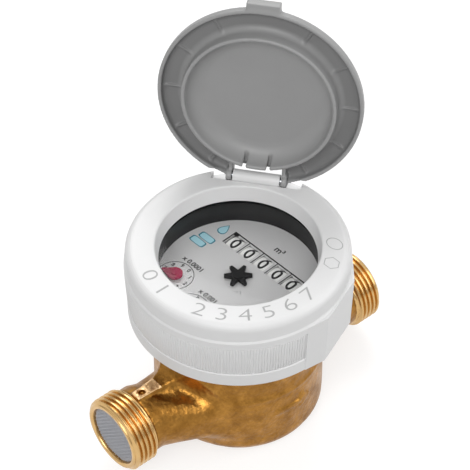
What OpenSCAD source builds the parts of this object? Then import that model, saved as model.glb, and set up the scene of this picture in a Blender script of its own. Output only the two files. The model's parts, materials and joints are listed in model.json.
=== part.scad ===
// Cold water meter with a hinged lid, single jet, dry register. Sizes in mm.
// Origin: middle of the base face. +Z up, +X the way the water flows.

/* [Body] */
// Length between the two end faces
body_len = 110; // [106:1:124]
// Outer radius of the round body
body_r = 28.9; // [28.7:0.1:29.3]
// Height of the pipe axis above the base
axis_z = 18; // [17:0.5:19]
// Radius of the rounded corner under the body
base_round = 6.4; // [4:0.2:7]
// Thickness of the floor under the chamber
floor_t = 5; // [4:0.25:6]
// Radius of the measuring chamber
chamber_r = 21; // [20:0.25:22]
// Height of the measuring chamber
chamber_h = 25; // [24:0.5:25]

/* [Pipe ends] */
// Crest radius of the G3/4 B thread
thread_r = 13.22; // [13.1:0.02:13.3]
// Length of the threaded part
thread_len = 9.07; // [7:0.1:11]
// Radius of the water way in the pipe ends
bore_r = 10.3; // [9.6:0.1:10.4]
// Radius of the neck behind the thread
neck_r = 11.7; // [11.4:0.1:12]
// Radius of the wire hole in the seal lug
seal_hole_r = 1; // [0.7:0.1:1.2]

/* [Cap] */
// Overhang of the cap past the round body
cap_over = 8.5; // [8:0.1:9]
// Height of the lower edge of the cap
cap_bottom = 44.75; // [44.2:0.05:45]
// Height of the top face of the cap
cap_top = 72.5; // [72:0.1:73]
// Slope of the bezel from the top face in to the window
bezel_slope = 1; // [0.8:0.1:1.4]
// Width of the flat pad on the side of the cap
pad_w = 18.8; // [16:0.2:20]
// Direction of the flat pad
pad_turn = -68.6; // [-75:0.2:-60]

/* [Lid] */
// Direction of the hinge round the cap
hinge_turn = 38; // [30:1:50]
// Opening angle in the rest pose
lid_open = 96.6; // [90:0.2:98]
// Inset of the lid from the side of the cap
lid_inset = 3.3; // [3:0.1:3.8]
// Gap between the bezel and the inner ring of the lid
lid_ring_gap = 1.3; // [1.2:0.1:2]
// Depth of the inner ring below the rim
lid_ring_drop = 3.1; // [2:0.1:3.4]
// Height of the lid rim
lid_rim_h = 3; // [2.6:0.1:3.2]
// Height of the dome above the rim
lid_dome_h = 3.2; // [2:0.2:4]
// Width of the hinge block
knuckle_w = 15.8; // [14:0.2:16]
// Inset of the hinge pin from the side of the cap
hinge_inset = 6.2; // [6:0.1:6.4]
// Radius of the hinge pin
pin_r = 1; // [0.8:0.1:1.1]

/* [Register] */
// Turn of the dial against the pipe axis
register_turn = 3; // [0:0.5:6]
// Height of the dial face
dial_z = 56.3; // [56.2:0.1:56.6]
// Width of the black ring round the dial
dial_ring_w = 3.6; // [3.2:0.1:4]
// Inset of the circle of the four pointers from the register wall
pointer_inset = 4.7; // [4.5:0.1:5]
// Direction of the first pointer
pointer_first = 133.5; // [131:0.5:135]
// Radius of a digit roller
roller_r = 6.6; // [6.4:0.05:6.7]
// Gap between two digit rollers
roller_gap = 1.5; // [1.45:0.01:1.55]
// Distance of the roller axle from the middle
roller_x = 10.8; // [10.6:0.1:11]
// Sideways place of the middle roller
roller_y = -0.7; // [-0.9:0.1:-0.4]

/* [Clearances] */
// Radial running clearance of the shafts
run_gap = 0.05; // [0.03:0.01:0.08]
// Clearance of a nested part
nest_gap = 0.2; // [0.15:0.05:0.3]
// Radial clearance of the hinge pin in the lid
hinge_gap = 0.05; // [0.03:0.01:0.1]

/* [Hidden] */
$fn = 96;
eps = 0.01;
// overshoot of a cut past the face it opens
cut = 1;

// body
end_x = body_len / 2;
chamber_top = floor_t + chamber_h;
seat_r = chamber_r + 3;
seat_top = chamber_top + 6;
body_lip_top = cap_bottom + 2.85;
body_bore_r = body_r - 1.9;
part_line_z = 27;
rise_r = 19.5;
rise_cone = 3.8;
rise_run = 10;
upper_body_r = body_r - 0.35;
lip_r = body_r + 1.2;
lip_t = 1.3;
thread_depth = 1.162;
thread_root_r = thread_r - thread_depth;
thread_chamfer = 0.5;
thread_lead = 0.9;
neck_x = end_x - thread_lead - thread_len;
jet_r = 4.2;
jet_y = 8.5;
way_r = bore_r - 3.3;
way_x = neck_x - 5;
way_end_x = chamber_r + 6;
fairing_half = 9;
fairing_inset = 0.9;
// the swelling reaches the body's side on one side of the pipe and runs straight on the other
swell_r = (body_r - fairing_inset + neck_r) / 2;
lug_w = 6.4;
lug_tip_w = 3.8;
lug_top = axis_z + thread_r - 0.4;
seal_hole_x = -(neck_x - 3.4);
arrow_len = 15;
arrow_z = 19;
arrow_rise = 0.6;
arrow_head = 5;
arrow_half = 3.6;
arrow_shaft = 1.1;

// strainer
strainer_depth = 1.5;
strainer_t = 1.2;
strainer_hole_r = 0.95;
strainer_step = 3.1;
strainer_skirt = 7;

// chamber pieces
impeller_r = chamber_r - 1.6;
impeller_lift = 3.5;
impeller_room = 5;
impeller_h = chamber_h - impeller_lift - impeller_room;
magnet_seat = 3.6;
blade_drop = 2.4;
impeller_z0 = floor_t + impeller_lift;
impeller_z1 = impeller_z0 + impeller_h;
blade_t = 1.4;
hub_r = 4.2;
spindle_r = 0.9;
bearing_r = 2.4;
bearing_sink = 2.5;
bearing_rise = 1.6;
spindle_sink = 0.4;
spindle_top = 0.8;
spindle_end_gap = 0.1;
magnet_in_r = 2.2;
magnet_out_r = 6.2;
magnet_h = 2.6;
plate_t = 2.4;
plate_skin = 1;
clamp_t = 3.2;
oring_r = 0.9;
oring_ring_r = seat_r - 1.1;

// register housing
cup_out_r = body_bore_r - nest_gap;
cup_in_r = cup_out_r - 1.2;
cup_floor_z = seat_top + 0.6;
cup_floor_t = 1.4;
cup_top = body_lip_top;
flange_t = 1.5;
shell_wall = 1.5;
shell_gap = 2.9;
cap_r = body_r + cap_over;
cap_wall = 2.2;
cap_in_r = cap_r - cap_wall;
shell_out_r = cap_in_r - shell_gap;
shell_in_r = shell_out_r - shell_wall;
well_in_r = 8.4;
well_wall = 1;
well_floor_z = chamber_top + plate_t + 1;
well_floor_t = 0.9;
lens_drop = 7.7;
shell_top = cap_top - lens_drop;

// dial stack
dial_t = 1;
dial_r = shell_in_r - nest_gap;
dial_view_r = dial_r - dial_ring_w;
bezel_r = dial_view_r;
window_r = bezel_r - bezel_slope;
pointer_ring_r = cup_in_r - pointer_inset;
dial_low = dial_z - dial_t;
ring_step = 5;
ring_lip = 0.5;
lens_t = 1.6;
lens_z = shell_top;
gasket_t = 0.4;
ring_top = lens_z;
cap_lip_z = lens_z + lens_t + gasket_t;

// movement levels
mplate_z = cup_top + flange_t;
mplate_t = 0.9;
mplate_r = shell_in_r - 0.3;
pillar_r = 1;
pillar_inset = 1.3;
gear_t = 0.9;
lev_b1 = mplate_z + mplate_t + 0.25;
lev_a1 = lev_b1 + gear_t + 0.25;
lev_b2 = lev_a1 + gear_t + 0.25;
lev_a2 = lev_b2 + gear_t + 0.25;
lev_first = mplate_z - 2.4;
shaft_r = 0.5;
pivot_gap = run_gap;
arbor_gap = 0.4;

// gear train, teeth
n_pin = 9;
n_mid = 27;
n_big = 30;
n_first = 54;
n_end = 10;
n_idler = 12;
press_ang = 25;
add_k = 0.8;
ded_k = 1.1;
backlash = 0.06;
pointer_step = 43.7;
pointer_chord = 2 * pointer_ring_r * sin(pointer_step / 2);
gear_m = pointer_chord / 37.05;
d_mid = gear_m * (n_pin + n_mid) / 2;
d_big = gear_m * (n_pin + n_big) / 2;
d_first = gear_m * (n_pin + n_first) / 2;

// number rollers
roller_z = dial_z - 0.6 - roller_r;
roller_axle_r = 0.9;
roller_hub_r = 1.9;
n_ring = 20;
n_trans = 8;
ring_m = 0.53;
ring_t = 0.5;
trans_t = 1;
d_trans = ring_m * (n_ring + n_trans) / 2;
trans_dir = -42;
trans_x = roller_x + d_trans * cos(trans_dir);
trans_z = roller_z + d_trans * sin(trans_dir);
trans_axle_r = 0.6;
trans_gap = 0.57;
cheek_t = 0.9;
cheek_gap = 1.1;
// half chord of the cup at the transfer axle, filled by half the row and its cheek
row_half = sqrt(pow(cup_in_r - trans_gap, 2) - pow(trans_x + trans_axle_r, 2));
roller_pitch = (row_half + roller_y - cheek_gap - cheek_t + roller_gap / 2) / 2.5;
roller_w = roller_pitch - roller_gap;
window_len = 4 * roller_pitch + 4.4;
window_w = 6;
cheek_x0 = 3.4;
cheek_z0 = 1.6;
cheek_z1 = 2.6;
cheek_wall_gap = 0.2;
units_y = roller_y - 2 * roller_pitch;
high_y = roller_y + 2 * roller_pitch;
cheek_r_y = units_y - roller_w / 2 - cheek_gap;
cheek_l_y = high_y + roller_w / 2 + 0.9;
worm_wheel_r = 2.55;
worm_r = 0.85;
worm_ecc = 0.4;
worm_pitch = 2 * 3.14159265 * worm_wheel_r / 10;
worm_turns = 3;
worm_y = cheek_r_y - cheek_t - 1.75;
worm_x = roller_x - worm_wheel_r - 0.95;
worm_wheel_t = 0.9;

// places of the arbors in the register frame
function polar(r, a) = [r * cos(a), r * sin(a)];
function dist(p, q) = norm(q - p);
function head(p, q) = atan2(q[1] - p[1], q[0] - p[0]);
// point at distance a from p and b from q, on the left of the way p to q for s = 1
function meet(p, q, a, b, s) =
    let (d = dist(p, q), x = (a * a - b * b + d * d) / (2 * d), h = sqrt(max(0, a * a - x * x)),
         u = (q - p) / d)
    p + u * x + [-u[1], u[0]] * h * s;
p1 = polar(pointer_ring_r, pointer_first);
p2 = polar(pointer_ring_r, pointer_first + pointer_step);
p3 = polar(pointer_ring_r, pointer_first + 2 * pointer_step);
p4 = polar(pointer_ring_r, pointer_first + 3 * pointer_step);
c0 = [0, 0];
w0 = meet(c0, p1, d_first, d_big, 1);
i1 = meet(p1, p2, d_mid, d_big, -1);
i2 = meet(p2, p3, d_mid, d_big, -1);
i3 = meet(p3, p4, d_mid, d_big, -1);
wp = [worm_x, worm_y];
end_m = dist(p4, wp) / 21.9;
d_end = end_m * (n_end + n_idler) / 2;
k1 = meet(p4, wp, d_end, d_end, -1);
// turn of wheel j that meshes with pinion i, whose tooth 0 points along rot_i
function mesh_turn(pi, pj, ni, nj, rot_i) =
    let (a = head(pi, pj), p = (a - rot_i) * ni / 360)
    a + 180 - (0.5 - p) * 360 / nj;

// cap
top_round = 2.6;
step_z = cap_top - 7;
rim_draft = 0.6;
knurl_t = 0.45;
pad_rise = 0.05;
pad_flank = 26;
rim_h = 5;
band_h = 12.8;
band_z0 = cap_bottom + rim_h;
band_z1 = band_z0 + band_h;
upper_r = cap_r - 0.5;
bezel_skin = 1.8;
hinge_r = cap_r - hinge_inset;
recess_z = cap_top - 3.4;
recess_u = hinge_r - 2.5;
recess_half = 15.2;
lock_t = 1.4;
lock_in_r = body_r + 0.15;

// hinge and lid
hinge_z = cap_top + 0.4;
lid_r = cap_r - lid_inset;
lid_ring_r = bezel_r - lid_ring_gap;
rim_z = cap_top + 0.3;
barrel_r = 2.2;
rim_t = 1.6;
lid_skin = 1.6;
lid_top = rim_z + lid_rim_h + lid_dome_h;
ring_t2 = 1.3;
ear_t = 2;
ear_gap = 0.4;
ear_in = knuckle_w / 2 + ear_gap;
ear_r = 2.1;
pin_len = knuckle_w + 2 * (ear_gap + ear_t) - 0.4;
slot_half = 4;
tab_w = 11;
tab_out = 2.4;
tab_h = 3.4;
dome_k = (lid_r * lid_r + lid_dome_h * lid_dome_h) / (2 * lid_dome_h);

module tube(r1, r2, z0, z1) {
    translate([0, 0, z0])
        difference() {
            cylinder(r = r2, h = z1 - z0);
            translate([0, 0, -1]) cylinder(r = r1, h = z1 - z0 + 2);
        }
}

module rod(r, z0, z1) {
    translate([0, 0, z0]) cylinder(r = r, h = z1 - z0);
}

// cylinder along +X
module xrod(r, x0, x1) {
    translate([x0, 0, 0]) rotate([0, 90, 0]) cylinder(r = r, h = x1 - x0);
}

// cylinder along +Y
module yrod(r, y0, y1) {
    translate([0, y0, 0]) rotate([-90, 0, 0]) cylinder(r = r, h = y1 - y0);
}

module in_register() {
    rotate([0, 0, register_turn]) children();
}

module at(p) {
    translate([p[0], p[1], 0]) children();
}

function inv_deg(a) = tan(a) * 57.2957795 - a;
// half tooth angle at radius r
function half_tooth(n, m, r) =
    let (rp = m * n / 2, rb = rp * cos(press_ang), c = max(rb, r))
    (90 / n) - backlash / rp * 57.2957795 / 2 + inv_deg(press_ang) - inv_deg(acos(rb / c));
function tooth_points(n, m) =
    let (rp = m * n / 2, rr = rp - ded_k * m, ra = rp + add_k * m, rm = rp - 0.15 * m)
    [for (i = [0 : n - 1])
        let (c = i * 360 / n, hr = half_tooth(n, m, rr), hm = half_tooth(n, m, rm),
             ha = half_tooth(n, m, ra))
        each [polar(rr, c - hr), polar(rm, c - hm), polar(ra, c - ha),
              polar(ra, c + ha), polar(rm, c + hm), polar(rr, c + hr)]];

module gear(n, m, z, t, turn = 0) {
    translate([0, 0, z])
        rotate([0, 0, turn])
            linear_extrude(height = t) polygon(tooth_points(n, m));
}

// pipe end along +X, the thread as its crest cylinder
module pipe_end() {
    crest_x0 = neck_x + thread_chamfer;
    crest_x1 = end_x - thread_lead;
    pts = [[0, way_x], [neck_r, way_x], [neck_r, neck_x - thread_chamfer],
           [thread_root_r, neck_x], [thread_r, crest_x0], [thread_r, crest_x1],
           [thread_root_r, crest_x1 + thread_chamfer], [thread_root_r, end_x], [0, end_x]];
    rotate([0, 90, 0])
        rotate([0, 0, 90])
            rotate_extrude() polygon(pts);
}

module body_shape() {
    arc = [for (i = [0 : 8]) [body_r - base_round + base_round * sin(i * 11.25),
                              base_round - base_round * cos(i * 11.25)]];
    rotate_extrude()
        polygon(concat([[0, 0]], arc,
            [[body_r, part_line_z - 0.3], [upper_body_r, part_line_z + 0.3],
             [upper_body_r, body_lip_top - lip_t - 0.6], [lip_r, body_lip_top - lip_t],
             [lip_r, body_lip_top], [0, body_lip_top]]));
}

// swelling from the neck into the body, along +X and towards +Y
module fairing() {
    hull() {
        translate([0, 0, axis_z]) xrod(neck_r, neck_x - 4.5, neck_x - 4, $fn = 40);
        translate([0, swell_r - neck_r, axis_z - fairing_half]) cylinder(r = swell_r, h = 2 * fairing_half, $fn = 56);
    }
}

// wedge with a flat top from the thread to the body, on the inlet side
module seal_lug() {
    tip_x = -neck_x + 0.2;
    root_x = -chamber_r - 1;
    translate([0, 0, axis_z])
        linear_extrude(height = lug_top - axis_z)
            polygon([[tip_x, -lug_tip_w / 2], [root_x, -lug_w / 2], [root_x, lug_w / 2], [tip_x, lug_tip_w / 2]]);
}

module flow_arrow() {
    tail = -arrow_len / 2;
    neck = arrow_len / 2 - arrow_head;
    room = 2 * arrow_half;
    intersection() {
        rotate_extrude() translate([body_r - 1, arrow_z - room]) square([1 + arrow_rise, 2 * room]);
        translate([0, -body_r + 6, arrow_z])
            rotate([90, 0, 0])
                linear_extrude(height = 10)
                    polygon([[tail, -arrow_shaft], [neck, -arrow_shaft], [neck, -arrow_half],
                             [arrow_len / 2, 0], [neck, arrow_half], [neck, arrow_shaft], [tail, arrow_shaft]]);
    }
}

// rise of the part line over the pipe, along +X: the body's lower radius inside a cone round the pipe axis
module part_line_rise() {
    intersection() {
        rod(body_r, axis_z, axis_z + rise_r + rise_cone);
        translate([0, 0, axis_z])
            rotate([0, 90, 0])
                translate([0, 0, body_r - rise_run]) cylinder(r1 = rise_r + rise_cone, r2 = rise_r, h = rise_run + cut);
    }
}

module meter_body() {
    color("#b98a45")
        difference() {
            union() {
                body_shape();
                translate([0, 0, axis_z]) pipe_end();
                translate([0, 0, axis_z]) mirror([1, 0, 0]) pipe_end();
                fairing();
                rotate([0, 0, 180]) fairing();
                part_line_rise();
                mirror([1, 0, 0]) part_line_rise();
                seal_lug();
                flow_arrow();
            }
            rod(chamber_r, floor_t, seat_top);
            rod(seat_r, chamber_top, seat_top + 1);
            rod(body_bore_r, seat_top, body_lip_top + 1);
            rod(bearing_r, floor_t - bearing_sink, floor_t + cut);
            translate([0, 0, axis_z]) {
                xrod(bore_r, -end_x - 1, -way_x);
                xrod(bore_r, way_x, end_x + 1);
                xrod(way_r, -way_x - 1, -way_end_x);
                xrod(way_r, way_end_x, way_x + 1);
                translate([0, jet_y, 0]) xrod(jet_r, 0, way_end_x + 2);
                translate([0, -jet_y, 0]) xrod(jet_r, -way_end_x - 2, 0);
            }
            translate([seal_hole_x, 0, 0]) rod(seal_hole_r, lug_top - 1.6, lug_top + 1);
        }
}

module inlet_strainer() {
    x0 = -end_x + strainer_depth;
    color("#9c9ca8")
        translate([0, 0, axis_z])
            difference() {
                union() {
                    xrod(bore_r - nest_gap / 2, x0, x0 + strainer_t);
                    difference() {
                        xrod(bore_r - nest_gap / 2, x0, x0 + strainer_skirt);
                        xrod(bore_r - 1.2, x0 - 1, x0 + strainer_skirt + 1);
                    }
                }
                for (i = [-2 : 2])
                    for (j = [-2 : 2])
                        if (abs(i + j) <= 2)
                            translate([0, (i + j / 2) * strainer_step, j * strainer_step * 0.866])
                                xrod(strainer_hole_r, x0 - 1, x0 + strainer_t + 1);
            }
}

module lower_bearing() {
    color("#8a2f3a")
        difference() {
            rod(bearing_r, floor_t - bearing_sink, floor_t + bearing_rise);
            rod(spindle_r + run_gap, floor_t - spindle_sink - spindle_end_gap, floor_t + bearing_rise + cut);
        }
}

module impeller() {
    color("#d9d6cc")
        difference() {
            union() {
                rod(hub_r, impeller_z0, impeller_z1);
                rod(magnet_out_r + 1, impeller_z1 - magnet_seat, impeller_z1);
                for (i = [0 : 7])
                    rotate([0, 0, i * 45])
                        translate([hub_r - 1, -blade_t / 2, impeller_z0 + 0.6])
                            cube([impeller_r - hub_r + 1, blade_t, impeller_h - blade_drop]);
            }
            rod(spindle_r, impeller_z0 - 1, impeller_z1 + 1);
            tube(magnet_in_r, magnet_out_r, impeller_z1 - magnet_h, impeller_z1 + 1);
        }
}

module impeller_spindle() {
    color("#b9bcc0") rod(spindle_r, floor_t - spindle_sink, chamber_top + spindle_top);
}

module drive_magnet() {
    color("#3a3a3e") tube(magnet_in_r, magnet_out_r, impeller_z1 - magnet_h, impeller_z1);
}

module upper_bearing() {
    color("#8a2f3a")
        difference() {
            rod(bearing_r, chamber_top - bearing_rise, chamber_top + plate_t - plate_skin);
            rod(spindle_r + run_gap, chamber_top - bearing_rise - cut, chamber_top + spindle_top + spindle_end_gap);
        }
}

module separating_plate() {
    color("#6d7278")
        difference() {
            rod(seat_r - nest_gap / 2, chamber_top, chamber_top + plate_t);
            rod(bearing_r, chamber_top - cut, chamber_top + plate_t - plate_skin);
            rotate_extrude() translate([oring_ring_r, chamber_top]) circle(r = oring_r + 0.05);
        }
}

module plate_o_ring() {
    color("#202022")
        intersection() {
            rotate_extrude() translate([oring_ring_r, chamber_top]) circle(r = oring_r);
            rod(seat_r + 2, chamber_top, chamber_top + 3);
        }
}

module clamp_ring() {
    z = chamber_top + plate_t;
    color("#c49a50")
        difference() {
            tube(seat_r - 6, seat_r - 0.05, z, z + clamp_t);
            for (i = [0 : 3])
                rotate([0, 0, i * 90 + 20])
                    translate([seat_r - 3, 0, 0]) rod(1.1, z - 1, z + clamp_t + 1);
        }
}

module register_housing() {
    color("#26272a")
        difference() {
            union() {
                difference() {
                    union() {
                        rod(cup_out_r, cup_floor_z, cup_top + flange_t);
                        rod(shell_out_r, cup_top, shell_top);
                        rod(well_in_r + well_wall, well_floor_z, cup_floor_z + 1);
                    }
                    rod(cup_in_r, cup_floor_z + cup_floor_t, shell_top + 1);
                    rod(shell_in_r, cup_top + flange_t, shell_top + 1);
                    rod(well_in_r, well_floor_z + well_floor_t, shell_top);
                }
                in_register() at(w0) rod(1.8, cup_floor_z + 0.5, lev_first - 0.4);
                in_register() at(wp) rod(1.6, cup_floor_z + 0.5, roller_z - worm_turns * worm_pitch / 2 - 0.5);
            }
            rod(shaft_r + run_gap, well_floor_z + 0.3, well_floor_z + 2);
            in_register() at(w0) rod(shaft_r + run_gap, lev_first - 3.4, lev_first + 1);
            in_register() at(wp) rod(shaft_r + run_gap, roller_z - 6, roller_z);
        }
}

module follower_magnet() {
    z = well_floor_z + well_floor_t + 0.5;
    color("#3a3a3e") tube(1.4, magnet_out_r, z, z + magnet_h);
}

module centre_arbor() {
    z = well_floor_z + well_floor_t + 0.5;
    color("#d8c38a")
        in_register() {
            rod(shaft_r, well_floor_z + 0.4, z);
            rod(1.4, z, z + magnet_h + 0.4);
            rod(shaft_r, z + magnet_h + 0.4, dial_z + 1.3);
            gear(n_pin, gear_m, lev_first - 0.2, gear_t + 0.4);
        }
}

module flow_star() {
    z = dial_z + 0.4;
    color("#1b1b1d")
        in_register()
            difference() {
                union() {
                    rod(1.9, z, z + 1.4);
                    for (i = [0 : 5])
                        rotate([0, 0, i * 60 + 18])
                            translate([0, 0, z])
                                linear_extrude(height = 1.1) polygon([[1, -1.35], [4.7, -0.5], [4.7, 0.5], [1, 1.35]]);
                }
                rod(shaft_r, z - 1, z + 0.9);
            }
}

// arbor with a wheel and a pinion
module arbor(p, z0, z1, nw, mw, zw, tw, np, mp, zp) {
    in_register()
        at(p) {
            rod(shaft_r, z0, z1);
            gear(nw, mw, zw, gear_t, tw);
            gear(np, mp, zp - 0.1, gear_t + 0.2);
        }
}

module first_wheel() {
    color("#d8c38a")
        arbor(w0, lev_first - 3.2, dial_low + 0.5, n_first, gear_m, lev_first,
            mesh_turn(c0, w0, n_pin, n_first, 0), n_pin, gear_m, lev_b1);
}

module pointer_arbor_1() {
    color("#e4e1d6")
        arbor(p1, mplate_z + 0.1, dial_z + 1.1, n_big, gear_m, lev_b1,
            mesh_turn(w0, p1, n_pin, n_big, 0), n_pin, gear_m, lev_a1);
}

module step_wheel_1() {
    color("#d8c38a")
        arbor(i1, mplate_z + 0.1, dial_low + 0.5, n_mid, gear_m, lev_a1,
            mesh_turn(p1, i1, n_pin, n_mid, 0), n_pin, gear_m, lev_b2);
}

module pointer_arbor_2() {
    color("#e4e1d6")
        arbor(p2, mplate_z + 0.1, dial_z + 1.1, n_big, gear_m, lev_b2,
            mesh_turn(i1, p2, n_pin, n_big, 0), n_pin, gear_m, lev_a2);
}

module step_wheel_2() {
    color("#d8c38a")
        arbor(i2, mplate_z + 0.1, dial_low + 0.5, n_mid, gear_m, lev_a2,
            mesh_turn(p2, i2, n_pin, n_mid, 0), n_pin, gear_m, lev_b1);
}

module pointer_arbor_3() {
    color("#e4e1d6")
        arbor(p3, mplate_z + 0.1, dial_z + 1.1, n_big, gear_m, lev_b1,
            mesh_turn(i2, p3, n_pin, n_big, 0), n_pin, gear_m, lev_a1);
}

module step_wheel_3() {
    color("#d8c38a")
        arbor(i3, mplate_z + 0.1, dial_low + 0.5, n_mid, gear_m, lev_a1,
            mesh_turn(p3, i3, n_pin, n_mid, 0), n_pin, gear_m, lev_b2);
}

module pointer_arbor_4() {
    color("#e4e1d6")
        arbor(p4, mplate_z + 0.1, dial_z + 1.1, n_big, gear_m, lev_b2,
            mesh_turn(i3, p4, n_pin, n_big, 0), n_end, end_m, lev_a2);
}

module idler_wheel() {
    color("#d8c38a")
        in_register()
            at(k1) {
                rod(shaft_r, lev_a2, dial_low + 0.5);
                gear(n_idler, end_m, lev_a2, gear_t, mesh_turn(p4, k1, n_end, n_idler, 0));
            }
}

module worm_arbor() {
    h = worm_turns * worm_pitch;
    turn = mesh_turn(p4, k1, n_end, n_idler, 0);
    color("#e4e1d6")
        in_register()
            at(wp) {
                rod(shaft_r, roller_z - h / 2 - 2.5, roller_z - h / 2 + 0.1);
                rod(shaft_r, roller_z + h / 2 - 0.1, dial_low + 0.5);
                gear(n_end, end_m, lev_a2, gear_t, mesh_turn(k1, wp, n_idler, n_end, turn));
                translate([0, 0, roller_z - h / 2])
                    linear_extrude(height = h, twist = -360 * worm_turns, slices = 12 * worm_turns, segments = 16)
                        translate([worm_ecc, 0]) circle(r = worm_r, $fn = 16);
            }
}

module pointer(p) {
    z = dial_z + 0.5;
    color("#b3202e")
        in_register()
            at(p)
                rotate([0, 0, pointer_first - 25])
                    difference() {
                        union() {
                            rod(2.6, z, z + 0.8);
                            rod(1.1, z, z + 1.2);
                            translate([0, 0, z])
                                linear_extrude(height = 0.7) polygon([[0.8, -2.4], [4.9, -0.25], [4.9, 0.25], [0.8, 2.4]]);
                        }
                        rod(shaft_r, z - 1, z + 0.6);
                    }
}

module pointer_1() { pointer(p1); }

module pointer_2() { pointer(p2); }

module pointer_3() { pointer(p3); }

module pointer_4() { pointer(p4); }

// ring of teeth across the roller axle, tooth 0 towards the transfer axle
module y_gear(n, m, y, t, turn) {
    translate([0, y + t, 0])
        rotate([90, 0, 0])
            rotate([0, 0, turn])
                linear_extrude(height = t) polygon(tooth_points(n, m));
}

// digit roller k, 0 is the units roller
module roller(k) {
    y0 = units_y + k * roller_pitch;
    tail = k == 0 ? cheek_r_y - cheek_t - 2.4 : y0 - roller_w / 2 - 0.65;
    color("#ececea")
        in_register()
            translate([roller_x, 0, roller_z])
                difference() {
                    union() {
                        difference() {
                            yrod(roller_r, y0 - roller_w / 2, y0 + roller_w / 2);
                            yrod(roller_r - 1.1, y0 - roller_w / 2 + 1, y0 + roller_w / 2 + 1);
                        }
                        yrod(roller_hub_r, tail, y0 + roller_w / 2 + 0.65);
                        if (k > 0) y_gear(n_ring, ring_m, y0 - roller_w / 2 - ring_t, ring_t + 0.1, trans_dir + 9);
                        if (k == 0)
                            translate([0, worm_y + worm_wheel_t / 2, 0])
                                rotate([90, 0, 0])
                                    linear_extrude(height = worm_wheel_t)
                                        union() {
                                            circle(r = 2.1);
                                            for (i = [0 : 9])
                                                rotate([0, 0, 180 + i * 36])
                                                    polygon([[1.8, -0.45], [2.85, -0.15], [2.85, 0.15], [1.8, 0.45]]);
                                        }
                    }
                    yrod(roller_axle_r + run_gap, tail - 1, y0 + roller_w);
                }
}

module digit_roller_1() { roller(0); }

module digit_roller_2() { roller(1); }

module digit_roller_3() { roller(2); }

module digit_roller_4() { roller(3); }

module digit_roller_5() { roller(4); }

// pinion between roller k and roller k - 1
module transfer_pinion(k) {
    y0 = units_y + k * roller_pitch - roller_w / 2 - 1.25;
    color("#c9b27a")
        in_register()
            translate([trans_x, 0, trans_z])
                difference() {
                    y_gear(n_trans, ring_m, y0, trans_t, trans_dir + 180);
                    yrod(trans_axle_r + run_gap, y0 - 1, y0 + trans_t + 1);
                }
}

module transfer_pinion_1() { transfer_pinion(1); }

module transfer_pinion_2() { transfer_pinion(2); }

module transfer_pinion_3() { transfer_pinion(3); }

module transfer_pinion_4() { transfer_pinion(4); }

module roller_axle() {
    color("#b9bcc0")
        in_register()
            translate([roller_x, 0, roller_z])
                yrod(roller_axle_r, worm_y - worm_wheel_t / 2 - 0.3, cheek_l_y + cheek_t);
}

module transfer_axle() {
    color("#b9bcc0")
        in_register()
            translate([trans_x, 0, trans_z])
                yrod(trans_axle_r, cheek_r_y - cheek_t, cheek_l_y + cheek_t);
}

// side plate of the roller row, its outer edge rounded to the cup
module cheek(y) {
    intersection() {
        translate([roller_x - cheek_x0, y, trans_z - cheek_z0])
            cube([cheek_x0 + trans_x - roller_x + cheek_z0, cheek_t, roller_z + cheek_z1 - trans_z + cheek_z0]);
        rod(cup_in_r - cheek_wall_gap, trans_z - cheek_z0 - cut, roller_z + cheek_z1 + cut);
    }
}

module movement_plate() {
    z = mplate_z;
    color("#55585c")
        in_register()
            difference() {
                union() {
                    difference() {
                        rod(mplate_r, z, z + mplate_t);
                        translate([roller_x - roller_r - 0.6, cheek_r_y - 0.5, z - 1])
                            cube([2 * roller_r + 1.2, cheek_l_y - cheek_r_y + 1, mplate_t + 2]);
                        translate([worm_x - 1.7, worm_y - 1.7, z - 1]) cube([9.6, 3, mplate_t + 2]);
                    }
                    cheek(cheek_r_y - cheek_t);
                    cheek(cheek_l_y);
                }
                rod(shaft_r + arbor_gap, z - cut, z + mplate_t + cut);
                at(w0) rod(shaft_r + arbor_gap, z - cut, z + mplate_t + cut);
                for (p = [p1, p2, p3, p4, i1, i2, i3])
                    at(p) rod(shaft_r + pivot_gap, z - cut, z + mplate_t + cut);
                translate([roller_x, 0, roller_z]) yrod(roller_hub_r + 0.1, cheek_r_y - 2, 0);
                translate([roller_x, 0, roller_z]) yrod(roller_axle_r, 0, cheek_l_y + 2);
                translate([trans_x, 0, trans_z]) yrod(trans_axle_r, cheek_r_y - 2, cheek_l_y + 2);
            }
}

module plate_pillars() {
    color("#c9b27a")
        in_register()
            for (a = [20, 110, 200, 290])
                rotate([0, 0, a]) translate([mplate_r - pillar_inset, 0, 0]) rod(pillar_r, mplate_z + mplate_t, dial_low);
}

module dial_plate() {
    color("#e6e7e8")
        in_register()
            difference() {
                rod(dial_r, dial_low, dial_z);
                translate([roller_x - window_w / 2, roller_y - window_len / 2 - 0.8, dial_low - 1])
                    cube([window_w, window_len + 1.6, dial_t + 2]);
                rod(shaft_r + 0.1, dial_low - 1, dial_z + 1);
                for (p = [p1, p2, p3, p4])
                    at(p) rod(shaft_r + pivot_gap, dial_low - 1, dial_z + 1);
                for (p = [w0, i1, i2, i3, k1, wp])
                    at(p) rod(shaft_r + pivot_gap, dial_low - 1, dial_low + 0.6);
            }
}

module dial_ring() {
    color("#141416")
        difference() {
            rod(dial_r, dial_z, ring_top);
            rod(dial_view_r, dial_z - cut, dial_z + ring_step);
            rod(dial_view_r - ring_lip, dial_z - cut, ring_top + cut);
        }
}

module window_lens() {
    color("#eef4f6", 0.25) rod(shell_out_r, lens_z, lens_z + lens_t);
}

module window_gasket() {
    color("#1c1c1e") tube(window_r + 2, shell_out_r - 0.4, lens_z + lens_t, cap_lip_z);
}

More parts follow.
